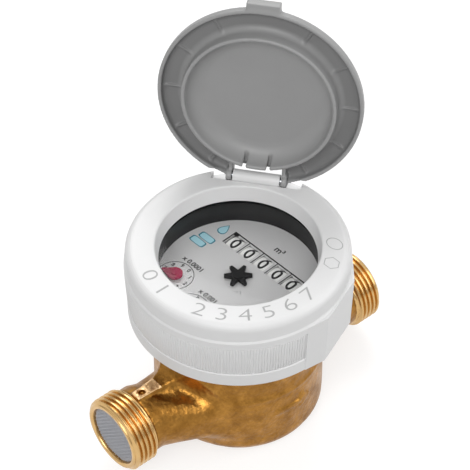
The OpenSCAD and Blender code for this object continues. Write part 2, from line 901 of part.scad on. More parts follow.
module cap_shape() {
    rim_r = cap_r - rim_draft;
    arc = [for (i = [0 : 6]) [upper_r - top_round + top_round * cos(i * 15), cap_top - top_round + top_round * sin(i * 15)]];
    crest = [for (i = [0 : 4]) [bezel_r + 0.7 - 0.7 * sin(i * 22.5), cap_top - 0.7 + 0.7 * cos(i * 22.5)]];
    rotate_extrude()
        polygon(concat(
            [[cap_in_r, cap_bottom], [rim_r - 0.3, cap_bottom], [rim_r, cap_bottom + 0.3], [rim_r, band_z0],
             [rim_r - knurl_t, band_z0 + 0.3], [cap_r - knurl_t, band_z1 - 0.3], [cap_r, band_z1],
             [cap_r, step_z - 0.4], [upper_r, step_z + 0.3]],
            arc, crest,
            [[window_r, cap_lip_z], [shell_out_r + 0.3, cap_lip_z], [shell_out_r + 0.3, cap_lip_z - 1],
             [cap_in_r, cap_lip_z - 1]]));
}

// flat pad on the side of the cap, in plan a chord with two flanks, with the draft of the cap
module cap_pad() {
    f = cap_r - rim_draft + pad_rise;
    root = cap_in_r + 0.4;
    lean = atan(rim_draft / (band_z1 - cap_bottom));
    rotate([0, 0, pad_turn])
        intersection() {
            rod(2 * cap_r, cap_bottom, step_z - 0.4);
            translate([f, 0, cap_bottom])
                rotate([0, lean, 0])
                    translate([-f, 0, -cap_wall])
                        linear_extrude(height = cap_top - cap_bottom)
                            polygon(concat([for (i = [-2 : 2]) polar(root, i * pad_flank / 2)],
                                [polar(f, pad_flank), [f, pad_w / 2], [f, -pad_w / 2], polar(f, -pad_flank)]));
        }
}

module in_hinge() {
    rotate([0, 0, hinge_turn]) children();
}

module cap() {
    color("#d6d8d8")
        difference() {
            union() {
                difference() {
                    union() {
                        cap_shape();
                        cap_pad();
                    }
                    in_hinge()
                        translate([recess_u, -recess_half, recess_z]) cube([cap_r, 2 * recess_half, cap_top]);
                }
                in_hinge() {
                    translate([hinge_r - barrel_r, -knuckle_w / 2, recess_z - 0.5])
                        cube([2 * barrel_r, knuckle_w, hinge_z - recess_z + 0.5]);
                    translate([hinge_r, 0, hinge_z]) yrod(barrel_r, -knuckle_w / 2, knuckle_w / 2);
                }
            }
            in_hinge() translate([hinge_r, 0, hinge_z]) yrod(pin_r, -knuckle_w, knuckle_w);
        }
}

module lock_ring() {
    color("#c4c6c6") tube(lock_in_r, cap_in_r - 0.05, cap_bottom, cap_bottom + lock_t - 0.35);
}

module hinge_pin() {
    color("#b9bcc0")
        in_hinge() translate([hinge_r, 0, hinge_z]) yrod(pin_r, -pin_len / 2, pin_len / 2);
}

// radius 0 to the rim along the dome, at height drop below the outer skin
function dome_arc(drop, r_end) =
    let (c = lid_top - dome_k, k = dome_k - drop, a_end = asin(r_end / k))
    [for (i = [0 : 6]) [k * sin(a_end * (6 - i) / 6), c + k * cos(a_end * (6 - i) / 6)]];

module lid_dish() {
    in_r = lid_r - rim_t;
    skin = dome_arc(0, lid_r);
    under = dome_arc(lid_skin, in_r);
    rotate_extrude()
        polygon(concat([[lid_r, rim_z]], skin, [for (i = [6 : -1 : 0]) under[i]], [[in_r, rim_z]]));
    rotate_extrude()
        polygon([[lid_ring_r - ring_t2, rim_z - lid_ring_drop], [lid_ring_r, rim_z - lid_ring_drop],
                 [lid_ring_r, rim_z + lid_rim_h], [lid_ring_r - ring_t2, rim_z + lid_rim_h]]);
    for (a = [30 : 30 : 330])
        if (a != 180)
            rotate([0, 0, a])
                translate([lid_ring_r - 0.5, -0.5, rim_z + 1]) cube([in_r - lid_ring_r + 1, 1, lid_rim_h - 1]);
    translate([-lid_r - tab_out, -tab_w / 2, rim_z + 0.2]) cube([tab_out + 1, tab_w, tab_h]);
}

// lid as it lies closed, hinge towards +X
module lid_closed() {
    ear_out = ear_in + ear_t;
    difference() {
        union() {
            difference() {
                lid_dish();
                translate([recess_u - 0.6, -ear_in, rim_z - 5]) cube([lid_r, 2 * ear_in, lid_r]);
                for (s = [-1, 1])
                    translate([lid_ring_r - 3, s * slot_half - 0.5, rim_z - 5]) cube([4, 1, 5.4]);
            }
            for (s = [-1, 1])
                translate([hinge_r, s * (ear_in + ear_t / 2), hinge_z]) {
                    yrod(ear_r, -ear_t / 2, ear_t / 2);
                    translate([-ear_r, -ear_t / 2, 0]) cube([2 * ear_r, ear_t, lid_rim_h - 0.4]);
                }
        }
        translate([hinge_r, 0, hinge_z]) yrod(pin_r + hinge_gap, -ear_out, ear_out);
    }
}

module lid() {
    color("#8f9294")
        in_hinge()
            translate([hinge_r, 0, hinge_z])
                rotate([0, lid_open, 0])
                    translate([-hinge_r, 0, -hinge_z]) lid_closed();
}

meter_body();
inlet_strainer();
lower_bearing();
impeller();
impeller_spindle();
drive_magnet();
upper_bearing();
separating_plate();
plate_o_ring();
clamp_ring();
register_housing();
follower_magnet();
centre_arbor();
flow_star();
first_wheel();
pointer_arbor_1();
pointer_arbor_2();
pointer_arbor_3();
pointer_arbor_4();
step_wheel_1();
step_wheel_2();
step_wheel_3();
idler_wheel();
worm_arbor();
pointer_1();
pointer_2();
pointer_3();
pointer_4();
digit_roller_1();
digit_roller_2();
digit_roller_3();
digit_roller_4();
digit_roller_5();
transfer_pinion_1();
transfer_pinion_2();
transfer_pinion_3();
transfer_pinion_4();
roller_axle();
transfer_axle();
movement_plate();
plate_pillars();
dial_plate();
dial_ring();
window_lens();
window_gasket();
cap();
lock_ring();
hinge_pin();
lid();
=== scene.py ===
"""Dressed water meter: casting, lid, threads, gauze, grip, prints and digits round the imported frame."""
import json
import math

import bmesh
import bpy
import numpy as np
import openvdb
from bpy.props import FloatProperty, FloatVectorProperty, IntProperty, PointerProperty
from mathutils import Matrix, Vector


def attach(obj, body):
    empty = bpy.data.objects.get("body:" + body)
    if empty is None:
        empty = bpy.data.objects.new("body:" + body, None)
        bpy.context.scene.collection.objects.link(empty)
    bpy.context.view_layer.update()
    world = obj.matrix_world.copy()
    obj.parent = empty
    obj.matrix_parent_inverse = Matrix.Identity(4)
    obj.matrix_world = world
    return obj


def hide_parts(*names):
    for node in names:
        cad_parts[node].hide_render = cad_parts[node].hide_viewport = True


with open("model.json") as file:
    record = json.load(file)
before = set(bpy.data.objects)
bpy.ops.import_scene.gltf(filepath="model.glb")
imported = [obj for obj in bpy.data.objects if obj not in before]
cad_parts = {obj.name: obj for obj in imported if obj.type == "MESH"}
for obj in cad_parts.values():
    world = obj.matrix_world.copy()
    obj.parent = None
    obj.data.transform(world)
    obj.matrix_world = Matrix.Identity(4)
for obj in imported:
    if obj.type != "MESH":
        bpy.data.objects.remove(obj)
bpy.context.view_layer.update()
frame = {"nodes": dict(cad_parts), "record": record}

bl_info = {
    "name": "Water meter dresser",
    "version": (1, 0, 0),
    "blender": (4, 5, 0),
    "location": "View3D > Sidebar > Meter",
    "description": "Makes the visible surfaces of a cold water meter round its packed frame",
    "category": "Object",
}

MM = 0.001
WHITE = (1.0, 1.0, 1.0, 1.0)

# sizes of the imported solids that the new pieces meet, in mm
AXIS_Z = 18.0
BODY_R = 28.9
UPPER_R = 28.55
PART_LINE_Z = 27.0
RISE_R = 19.5
RISE_SLOPE = 0.38
BASE_ROUND = 6.4
LIP_R = 30.1
LIP_Z = (46.3, 47.6)
NECK_R = 11.7
NECK_END = 44.7
END_X = 55.0
BORE_R = 10.3
BORE_X = 40.03
WAY_R = 7.0
WAY_END = 27.0
CHAMBER_R = 21.0
CHAMBER_Z = (5.0, 30.0)
SEAT_R = 24.0
SEAT_Z = 36.0
REGISTER_BORE_R = 27.0
SWELL_X = (22.0, 41.0)
SWELL_SLOPE = 0.444
SWELL_SPAN = 29.0
SWELL_HALF_Z = 9.0
LUG_X = (-44.6, -24.0)
LUG_TOP = 30.82
LUG_MID_Z = 24.0
LUG_HALF = 1.9
LUG_TAPER = 0.057
LUG_TAPER_X = 44.8
LUG_TAPER_SPAN = 23.0
SEAL_HOLE_X = -41.63
SEAL_HOLE_R = 1.1
SEAL_HOLE_DEPTH = 1.6
THREAD_R = 13.22
THREAD_X = (45.0, 54.62)
CAP_TOP = 72.5
BAND_Z = (49.95, 62.4)
BAND_R = (36.35, 36.95)
PAD_TURN = -68.6
PAD_HALF = 27.0
HINGE_TURN = 38.0
HINGE_R = 31.2
HINGE_Z = 72.9
DIAL_Z = 56.3
DIAL_R = 27.0
REGISTER_TURN = 3.0
POINTER_RING_R = 20.9
POINTER_FIRST = 133.5
POINTER_STEP = 43.7
ROLLER_R = 6.6
ROLLER_X = 10.8
ROLLER_Y = -0.7
ROLLER_Z = 49.1
ROLLER_PITCH = 6.6
WINDOW_HALF = 3.0

# what the casting has over its solid, in mm
SLIM = 1.5
SLIM_SPAN = 3.5
LINE_STEP = 0.5
RIDGE_HEIGHT = 0.34
RIDGE_HALF = 0.95
ROOT_X = -37.5
ROOT_SPAN = 5.0
ROOT_BLEND = (0.7, 6.5)
# flat top of the seal lug, which gets a painted highlight
LUG_HIGHLIGHT_X = -35.4
LUG_HIGHLIGHT_Z = (LUG_TOP - 0.35, LUG_TOP + 0.3)
ARROW_Z = 19.0
ARROW_SHAFT = (-7.5, 3.0)
ARROW_SHAFT_HALF = 1.1
ARROW_HEAD = (2.5, 7.5)
ARROW_HEAD_HALF = 3.6
ARROW_SLANT = 6.16
ARROW_LIFT = 0.75
CAST_SEED = 7
CAST_WAVES = (14.0, 9.0, 6.0, 4.0)
CAST_WAVINESS = 0.0036

# the lid in its own closed place, in mm: u runs to the hinge, v along its pin
LID_OPEN = 96.6
LID_R = 34.1
LID_TOP = 79.0
DOME_R = 183.3
RIM_Z = 72.8
LID_WALL = 1.25
LID_SKIN = 1.6
GROOVE_THINNER = 0.85
GROOVE_R = 26.5
GROOVE_SPAN = 4.0
RING_R = 25.05
RING_HALF = 0.65
RING_Z = 72.85
RING_HALF_Z = 3.1
RIB_STEP = 30.0
RIB_HALF = 0.4
RIB_R = 29.0
RIB_REACH = 4.0
RIB_Z = 75.6
RIB_HALF_Z = 0.7
TAB_BOX = ((-34.8, 0.0, 74.7), (1.5, 5.3, 1.5))
NOTCH_U = 28.1
NOTCH_HALF = 8.3
NOTCH_WALL_V = 8.95
EAR_V = 9.3
EAR_HALF = 1.0
EAR_R = 2.1
PIN_HOLE_R = 1.35
SLOT_V = 4.0
SLOT_HALF = 0.55
# darkening of the painted shade in the lid's outer groove
PAINTED_GROOVE_SHADE = 0.38

# gauze over the strainer, in mm
GAUZE_R = 10.1
GAUZE_X = -53.66
WIRE_HALF = 0.13
WIRE_WAVE = 0.09
WIRE_STEPS = 72

# prints, in mm and degrees
FONT_HEIGHT = 0.729
CAP_DIGIT_ARC = (166.0, 274.0)
CAP_DIGIT_R = 31.4
CAP_DIGIT_STRETCH = 1.3
CAP_MARK_R = 31.2
SCALE_R = 6.2
SCALE_LINE = 0.25
SCALE_ZERO = 71.5
SCALE_NUMBER_R = 5.05
SCALE_TICK_R = 5.85
FRAME_HALF = 16.2
FRAME_LINE = 0.5
MARK_INSIDE = 0.84
DIGIT_SQUEEZE = 0.95
BAR_HALF = 0.7
END_BAR_HALF = 0.3
BAR_FOOT = -0.7
BAR_SIDE = -0.25
BAR_CROWN = 0.22

# camera fitted to the photograph: degrees, metres, and pixels of its frame
CAMERA_LIFT = 47.39
CAMERA_SWING = -40.65
CAMERA_TARGET = (0.0, 0.0, 0.035)
CAMERA_AWAY = 0.7
AIM_UP = 0.0294
AIM_LEFT = 0.0011
SENSOR = 36.0
FOCAL_PX = 2079.0
FRAME_PX = 470.0

# lamp: place in m, side of its square in m, power in W
LAMPS = (
    ("key_lamp", (-0.6, -0.44, 0.74), 0.55, 5.3),
    ("fill_lamp", (0.6, -0.55, 0.5), 0.6, 2.9),
    ("back_lamp", (0.4, 0.52, 0.77), 0.6, 4.5),
)
LAMP_AIM = (0.0, 0.0, 0.05)
FLOOR_HALF = 3.0
FLOOR_GREY = 0.38
FLOOR_GLOW = 0.68
ROOM_DIM = 0.42

# material of each slot of the record, filled by the first operator
MATERIALS = {}


def linear(code):
    """sRGB hex code to linear RGBA."""
    parts = [int(code[i:i + 2], 16) / 255 for i in (1, 3, 5)]
    return tuple(c / 12.92 if c <= 0.04045 else ((c + 0.055) / 1.055) ** 2.4 for c in parts) + (1.0,)


def per_mm(size):
    """Texture scale in 1/m for a feature of this size in mm."""
    return 1000.0 / size


def colour_prop(name, description, code):
    """A colour property with its default from a hex code."""
    return FloatVectorProperty(name=name, description=description, subtype="COLOR", size=3,
                               min=0.0, max=1.0, default=linear(code)[:3])


class MeterSizes(bpy.types.PropertyGroup):
    """Sizes of the pieces that Blender adds."""
    thread_pitch: FloatProperty(
        name="Thread pitch", description="Distance from crest to crest of the pipe thread",
        default=1.814 * MM, unit="LENGTH")
    thread_depth: FloatProperty(
        name="Thread depth", description="Height of the pipe thread's crest over its root",
        default=1.162 * MM, unit="LENGTH")
    cast_grid: FloatProperty(
        name="Casting grid", description="Spacing of the grid that the cast body is sampled on",
        default=0.58 * MM, unit="LENGTH")
    cast_blend: FloatProperty(
        name="Casting blend", description="Reach of the soft corner between pipe and round body",
        default=3.6 * MM, unit="LENGTH")
    gauze_pitch: FloatProperty(
        name="Gauze pitch", description="Spacing of the wires over the strainer",
        default=0.85 * MM, unit="LENGTH")
    lid_grid: FloatProperty(
        name="Lid grid", description="Spacing of the grid that the lid is sampled on",
        default=0.42 * MM, unit="LENGTH")
    knurl_count: IntProperty(
        name="Grip ribs", description="Number of grip ribs on a full turn of the cap", default=250)
    knurl_height: FloatProperty(
        name="Grip height", description="Height of a grip rib", default=0.42 * MM, unit="LENGTH")
    print_lift: FloatProperty(
        name="Print lift", description="Height of a printed mark over its ground",
        default=0.03 * MM, unit="LENGTH")
    digit_height: FloatProperty(
        name="Digit height", description="Height of the digits on the rollers",
        default=4.7 * MM, unit="LENGTH")
    cap_digit_height: FloatProperty(
        name="Cap digit height", description="Height of the digits on top of the cap",
        default=5.5 * MM, unit="LENGTH")


class MeterColours(bpy.types.PropertyGroup):
    """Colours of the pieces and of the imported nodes."""
    brass: colour_prop("Cast brass", "Raw cast brass of the body", "#b4823e")
    brass_dark: colour_prop("Brass shade", "Darker patches of the casting", "#90642a")
    brass_bright: colour_prop("Machined brass", "Turned threads and end faces", "#e0b87c")
    # painted highlight on the flat top of the seal lug
    brass_ground: colour_prop("Painted lug highlight", "Painted highlight on the flat top of the seal lug", "#ffd6a0")
    cap_white: colour_prop("Cap", "Pale moulded cap", "#dfdfdf")
    lid_grey: colour_prop("Lid", "Grey moulded lid", "#9a9a9a")
    dial_silver: colour_prop("Dial", "Silver lacquer of the dial", "#e0e0e0")
    print_black: colour_prop("Print", "Black printing ink", "#161617")
    engraved_grey: colour_prop("Engraving", "Grey lines engraved in the cap", "#a8a8a8")
    mark_blue: colour_prop("Blue mark", "Pale blue printed field", "#b2e0ec")
    mark_teal: colour_prop("Teal line", "Outline of a blue mark", "#2f7f92")


def add(tree, kind, inputs=None, **settings):
    """Adds one node: settings go to its properties, inputs to its sockets as links or as values."""
    made = tree.nodes.new(kind)
    for key, value in settings.items():
        setattr(made, key, value)
    for key, value in (inputs or {}).items():
        if isinstance(value, bpy.types.NodeSocket):
            tree.links.new(value, made.inputs[key])
        else:
            made.inputs[key].default_value = value
    return made


def new_material(name):
    """An empty node material and its tree."""
    material = bpy.data.materials.new(name)
    material.use_nodes = True
    material.node_tree.nodes.clear()
    return material, material.node_tree


def rgba(colour):
    """Three linear values to RGBA."""
    return tuple(colour)[:3] + (1.0,)


def any_ray(tree, path, *kinds):
    """1 for a ray that the light path calls any of these kinds, and 0 for the rest."""
    found = path.outputs[f"Is {kinds[0]} Ray"]
    for kind in kinds[1:]:
        found = add(tree, "ShaderNodeMath", {0: found, 1: path.outputs[f"Is {kind} Ray"]},
                    operation="MAXIMUM").outputs[0]
    return found


def finish_material(name, colour, metallic, roughness, grain_mm, grain_depth, shade, extra=None):
    """Grained surface: colour drifts by shade over patches, roughness and bump follow the grain."""
    material, tree = new_material(name)
    place = add(tree, "ShaderNodeTexCoord").outputs["Object"]
    patches = add(tree, "ShaderNodeTexNoise",
                  {"Vector": place, "Scale": per_mm(14 * grain_mm), "Detail": 4.0, "Roughness": 0.6})
    grain = add(tree, "ShaderNodeTexNoise",
                {"Vector": place, "Scale": per_mm(grain_mm), "Detail": 3.0, "Roughness": 0.55})
    low = tuple(c * (1 - shade) for c in colour[:3]) + (1.0,)
    high = tuple(min(1.0, c * (1 + shade)) for c in colour[:3]) + (1.0,)
    tone = add(tree, "ShaderNodeMix", {0: patches.outputs["Fac"], 6: low, 7: high}, data_type="RGBA")
    rough = add(tree, "ShaderNodeMapRange",
                {"Value": grain.outputs["Fac"], "To Min": roughness * 0.85, "To Max": roughness * 1.15})
    bump = add(tree, "ShaderNodeBump",
               {"Height": grain.outputs["Fac"], "Strength": 0.5, "Distance": grain_depth * MM})
    values = {"Base Color": tone.outputs[2], "Metallic": metallic,
              "Roughness": rough.outputs["Result"], "Normal": bump.outputs["Normal"]}
    values.update(extra or {})
    shader = add(tree, "ShaderNodeBsdfPrincipled", values)
    add(tree, "ShaderNodeOutputMaterial", {"Surface": shader.outputs["BSDF"]})
    return material


def add_dust(material, depth):
    """Painted shade: darkens a finish by depth where the piece's own groove shade attribute is 1, as shade
    in a recessed groove.
    """
    tree = material.node_tree
    shader = next(node for node in tree.nodes if node.type == "BSDF_PRINCIPLED")
    unshaded = shader.inputs["Base Color"].links[0].from_socket
    dust = add(tree, "ShaderNodeAttribute", attribute_name="dust")
    shade = add(tree, "ShaderNodeMapRange",
                {"Value": dust.outputs["Fac"], "To Min": 1.0, "To Max": 1.0 - depth})
    tone = add(tree, "ShaderNodeMix", {0: 1.0, 6: unshaded, 7: shade.outputs["Result"]},
               data_type="RGBA", blend_type="MULTIPLY")
    tree.links.new(tone.outputs[2], shader.inputs["Base Color"])


def cast_brass(colours):
    """Sand cast brass: pebbled skin with brown patches, and a painted highlight on the flat top of the seal
    lug.
    """
    material, tree = new_material("cast_brass_skin")
    place = add(tree, "ShaderNodeTexCoord").outputs["Object"]
    patches = add(tree, "ShaderNodeTexNoise",
                  {"Vector": place, "Scale": per_mm(6.0), "Detail": 5.0, "Roughness": 0.6,
                   "Distortion": 0.3})
    pebbles = add(tree, "ShaderNodeTexNoise",
                  {"Vector": place, "Scale": per_mm(0.9), "Detail": 4.0, "Roughness": 0.6})
    pits = add(tree, "ShaderNodeTexVoronoi", {"Vector": place, "Scale": per_mm(2.2)})
    spread = add(tree, "ShaderNodeMapRange",
                 {"Value": patches.outputs["Fac"], "From Min": 0.35, "From Max": 0.68})
    tone = add(tree, "ShaderNodeMix", {0: spread.outputs["Result"], 6: rgba(colours.brass_dark),
                                       7: rgba(colours.brass)}, data_type="RGBA")
    fleck = add(tree, "ShaderNodeMapRange",
                {"Value": pebbles.outputs["Fac"], "From Min": 0.35, "From Max": 0.7,
                 "To Min": 0.84, "To Max": 1.08})
    tint = add(tree, "ShaderNodeMix", {0: 1.0, 6: tone.outputs[2], 7: fleck.outputs["Result"]},
               data_type="RGBA", blend_type="MULTIPLY")
    rough = add(tree, "ShaderNodeMapRange",
                {"Value": patches.outputs["Fac"], "From Min": 0.3, "From Max": 0.7,
                 "To Min": 0.46, "To Max": 0.27})
    # the painted highlight lies on the lug's flat top, where all three tests on the place hold
    spot = add(tree, "ShaderNodeSeparateXYZ", {"Vector": place})
    ground = 1.0
    for axis, limit, test in (("Z", LUG_HIGHLIGHT_Z[0], "GREATER_THAN"), ("X", LUG_HIGHLIGHT_X, "LESS_THAN"),
                              ("Z", LUG_HIGHLIGHT_Z[1], "LESS_THAN")):
        holds = add(tree, "ShaderNodeMath", {0: spot.outputs[axis], 1: limit * MM}, operation=test)
        ground = add(tree, "ShaderNodeMath", {0: ground, 1: holds.outputs[0]},
                     operation="MULTIPLY").outputs[0]
    tint = add(tree, "ShaderNodeMix", {0: ground, 6: tint.outputs[2], 7: rgba(colours.brass_ground)},
               data_type="RGBA")
    skin = add(tree, "ShaderNodeMath", {0: pebbles.outputs["Fac"], 1: pits.outputs["Distance"]},
               operation="ADD")
    bump = add(tree, "ShaderNodeBump",
               {"Height": skin.outputs[0], "Strength": 0.8, "Distance": 0.2 * MM})
    shader = add(tree, "ShaderNodeBsdfPrincipled",
                 {"Base Color": tint.outputs[2], "Metallic": 1.0, "Roughness": rough.outputs["Result"],
                  "Normal": bump.outputs["Normal"]})
    add(tree, "ShaderNodeOutputMaterial", {"Surface": shader.outputs["BSDF"]})
    return material


def turned_brass(colours):
    """Turned brass: bright, with fine tool lines round the pipe axis."""
    material, tree = new_material("turned_brass")
    place = add(tree, "ShaderNodeTexCoord").outputs["Object"]
    # tool marks of 0.3 mm, drawn coarser than the real 0.1 mm so that they show
    lines = add(tree, "ShaderNodeTexNoise",
                {"Vector": add(tree, "ShaderNodeMapping",
                               {"Vector": place, "Scale": (1.0, 0.03, 0.03)}).outputs["Vector"],
                 "Scale": per_mm(0.3), "Detail": 2.0})
    wear = add(tree, "ShaderNodeTexNoise", {"Vector": place, "Scale": per_mm(5.0), "Detail": 4.0})
    dull = tuple(0.72 * c for c in colours.brass_bright) + (1.0,)
    tone = add(tree, "ShaderNodeMix", {0: wear.outputs["Fac"], 6: dull, 7: rgba(colours.brass_bright)},
               data_type="RGBA")
    rough = add(tree, "ShaderNodeMapRange",
                {"Value": wear.outputs["Fac"], "From Min": 0.3, "From Max": 0.7,
                 "To Min": 0.3, "To Max": 0.17})
    bump = add(tree, "ShaderNodeBump",
               {"Height": lines.outputs["Fac"], "Strength": 0.25, "Distance": 0.05 * MM})
    shader = add(tree, "ShaderNodeBsdfPrincipled",
                 {"Base Color": tone.outputs[2], "Metallic": 1.0, "Roughness": rough.outputs["Result"],
                  "Normal": bump.outputs["Normal"]})
    add(tree, "ShaderNodeOutputMaterial", {"Surface": shader.outputs["BSDF"]})
    return material


def clear_window():
    """Clear acrylic with a coated, hardly reflecting face, open to light to and from the dial."""
    material, tree = new_material("clear_window")
    place = add(tree, "ShaderNodeTexCoord").outputs["Object"]
    haze = add(tree, "ShaderNodeTexNoise", {"Vector": place, "Scale": per_mm(6.0), "Detail": 2.0})
    rough = add(tree, "ShaderNodeMapRange",
                {"Value": haze.outputs["Fac"], "To Min": 0.0, "To Max": 0.03})
    tint = linear("#fdfdfd")
    glass = add(tree, "ShaderNodeBsdfPrincipled",
                {"Base Color": tint, "Roughness": rough.outputs["Result"], "IOR": 1.15,
                 "Transmission Weight": 1.0})
    open_air = add(tree, "ShaderNodeBsdfTransparent", {"Color": tint})
    path = add(tree, "ShaderNodeLightPath")
    # a refracted ray counts as glossy too, so it is taken off again
    mirrored = add(tree, "ShaderNodeMath", {0: path.outputs["Is Glossy Ray"],
                                            1: path.outputs["Is Transmission Ray"]}, operation="SUBTRACT")
    light = add(tree, "ShaderNodeMath", {0: any_ray(tree, path, "Shadow", "Diffuse"),
                                         1: mirrored.outputs[0]}, operation="MAXIMUM")
    mixed = add(tree, "ShaderNodeMixShader", {0: light.outputs[0], 1: glass.outputs["BSDF"],
                                              2: open_air.outputs["BSDF"]})
    add(tree, "ShaderNodeOutputMaterial", {"Surface": mixed.outputs["Shader"]})
    return material


# slot: colour, metallic, roughness, grain in mm, grain depth in mm, shade
PLAIN_FINISHES = {
    # turned brass ring: yellow and fairly bright, with a fine tool grain
    "brass_ring": ("#c49a50", 1.0, 0.28, 0.4, 0.03, 0.12),
    # moulded polypropylene: pale bluish grey and dull
    "strainer_plastic": ("#b4b5ba", 0.0, 0.5, 0.6, 0.05, 0.07),
    # moulded bearing plastic: dark red and smooth
    "bearing_plastic": ("#8a2f3a", 0.0, 0.3, 0.4, 0.02, 0.05),
    # moulded polypropylene rotor: off-white satin
    "rotor_plastic": ("#d9d6cc", 0.0, 0.45, 0.5, 0.03, 0.05),
    # drawn stainless steel: grey and bright
    "steel": ("#b9bcc0", 1.0, 0.3, 0.3, 0.02, 0.08),
    # sintered ferrite: near black and matt, with a slight metal gleam
    "magnet": ("#3a3a3e", 0.3, 0.55, 0.3, 0.04, 0.1),
    # rolled sheet metal: grey satin
    "plate_metal": ("#8d9298", 1.0, 0.4, 0.4, 0.03, 0.08),
    # moulded rubber: black and matt
    "rubber": ("#1c1c1e", 0.0, 0.65, 0.4, 0.04, 0.1),
    # moulded black plastic: deep black satin
    "black_plastic": ("#141415", 0.0, 0.5, 0.4, 0.02, 0.12),
    # moulded acetal wheels: cream satin
    "gear_plastic": ("#ddd2ae", 0.0, 0.45, 0.4, 0.02, 0.06),
    # moulded pointer plastic: strong red with a soft gloss
    "red_plastic": ("#b00a48", 0.0, 0.32, 0.5, 0.02, 0.08),
    # moulded rollers: white satin under the digits
    "roller_plastic": ("#f8f8f6", 0.0, 0.42, 0.4, 0.02, 0.04),
    # moulded acetal pinions: darker cream satin
    "pinion_plastic": ("#c9b27a", 0.0, 0.45, 0.4, 0.02, 0.06),
    # turned brass pillars: pale yellow and bright
    "pillar_brass": ("#c9a860", 1.0, 0.3, 0.3, 0.02, 0.1),
}

# printed or engraved line: colour property, roughness, grain depth in mm, shade
INK_GRAIN = 0.3
INKS = {
    "engraved_line": ("engraved_grey", 0.5, 0.02, 0.1),
    # black ink, also used for the painted shadow lines round the roller window
    "printing_ink": ("print_black", 0.5, 0.01, 0.15),
    "roller_ink": ("print_black", 0.5, 0.01, 0.1),
    "blue_ink": ("mark_blue", 0.45, 0.01, 0.06),
    "teal_ink": ("mark_teal", 0.45, 0.01, 0.06),
}


def ink_finish(name, colours):
    """Ink or engraved line: matt, with a fine grain and a slightly uneven tone."""
    colour, roughness, depth, shade = INKS[name]
    return finish_material(name, rgba(getattr(colours, colour)), 0.0, roughness, INK_GRAIN, depth, shade)


def node_materials(colours):
    """One material for each material slot of the record."""
    made = {slot: finish_material(slot + "_finish", linear(code), *rest, {"Specular IOR Level": 0.3})
            for slot, (code, *rest) in PLAIN_FINISHES.items()}
    made["cast_brass"] = cast_brass(colours)
    made["clear_lens"] = clear_window()
    # ABS cap: satin moulded skin with a faint flow pattern
    made["white_plastic"] = finish_material(
        "pale_abs_cap", rgba(colours.cap_white), metallic=0.0, roughness=0.36, grain_mm=0.7,
        grain_depth=0.02, shade=0.025, extra={"Specular IOR Level": 0.35})
    # ABS lid: grey satin skin, a little rougher than the cap, with painted shade in its groove
    made["grey_plastic"] = finish_material(
        "grey_abs_lid", rgba(colours.lid_grey), metallic=0.0, roughness=0.4, grain_mm=0.8,
        grain_depth=0.03, shade=0.04, extra={"Specular IOR Level": 0.35})
    add_dust(made["grey_plastic"], PAINTED_GROOVE_SHADE)
    # silver lacquer on sheet metal: slightly metallic with a fine sparkle
    made["dial_face"] = finish_material(
        "silver_lacquer", rgba(colours.dial_silver), metallic=0.2, roughness=0.42, grain_mm=0.35,
        grain_depth=0.015, shade=0.05)
    return made


def quad_grid(rows, cols, closed):
    """Quads of a rows by cols grid of points, the last column joined to the first when closed."""
    r, c = np.meshgrid(np.arange(rows - 1), np.arange(cols if closed else cols - 1), indexing="ij")
    n = (c + 1) % cols
    corners = [r * cols + c, r * cols + n, (r + 1) * cols + n, (r + 1) * cols + c]
    return np.stack(corners, axis=-1).reshape(-1, 4)


def outward(points, faces):
    """Turns the faces of a closed shape so that its signed volume is above zero."""
    corners = [points[faces[:, i]] for i in range(faces.shape[1])]
    volume = sum(np.einsum("ij,ij->", corners[0], np.cross(corners[i], corners[i + 1]))
                 for i in range(1, len(corners) - 1))
    return faces[:, ::-1] if volume < 0 else faces


def place_mesh(name, points, faces, material, body, smooth=True):
    """Makes an object at the origin from points in mm and a face array, and lets it ride on a body."""
    mesh = bpy.data.meshes.new(name)
    size = faces.shape[1]
    mesh.vertices.add(len(points))
    mesh.vertices.foreach_set("co", (np.asarray(points) * MM).astype(np.float32).ravel())
    mesh.loops.add(faces.size)
    mesh.loops.foreach_set("vertex_index", faces.astype(np.int32).ravel())
    mesh.polygons.add(len(faces))
    mesh.polygons.foreach_set("loop_start", np.arange(0, faces.size, size, dtype=np.int32))
    mesh.polygons.foreach_set("use_smooth", np.full(len(faces), smooth))
    mesh.update(calc_edges=True)
    mesh.validate()
    mesh.materials.append(material)
    piece = bpy.data.objects.new(name, mesh)
    bpy.context.scene.collection.objects.link(piece)
    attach(piece, body)
    return piece


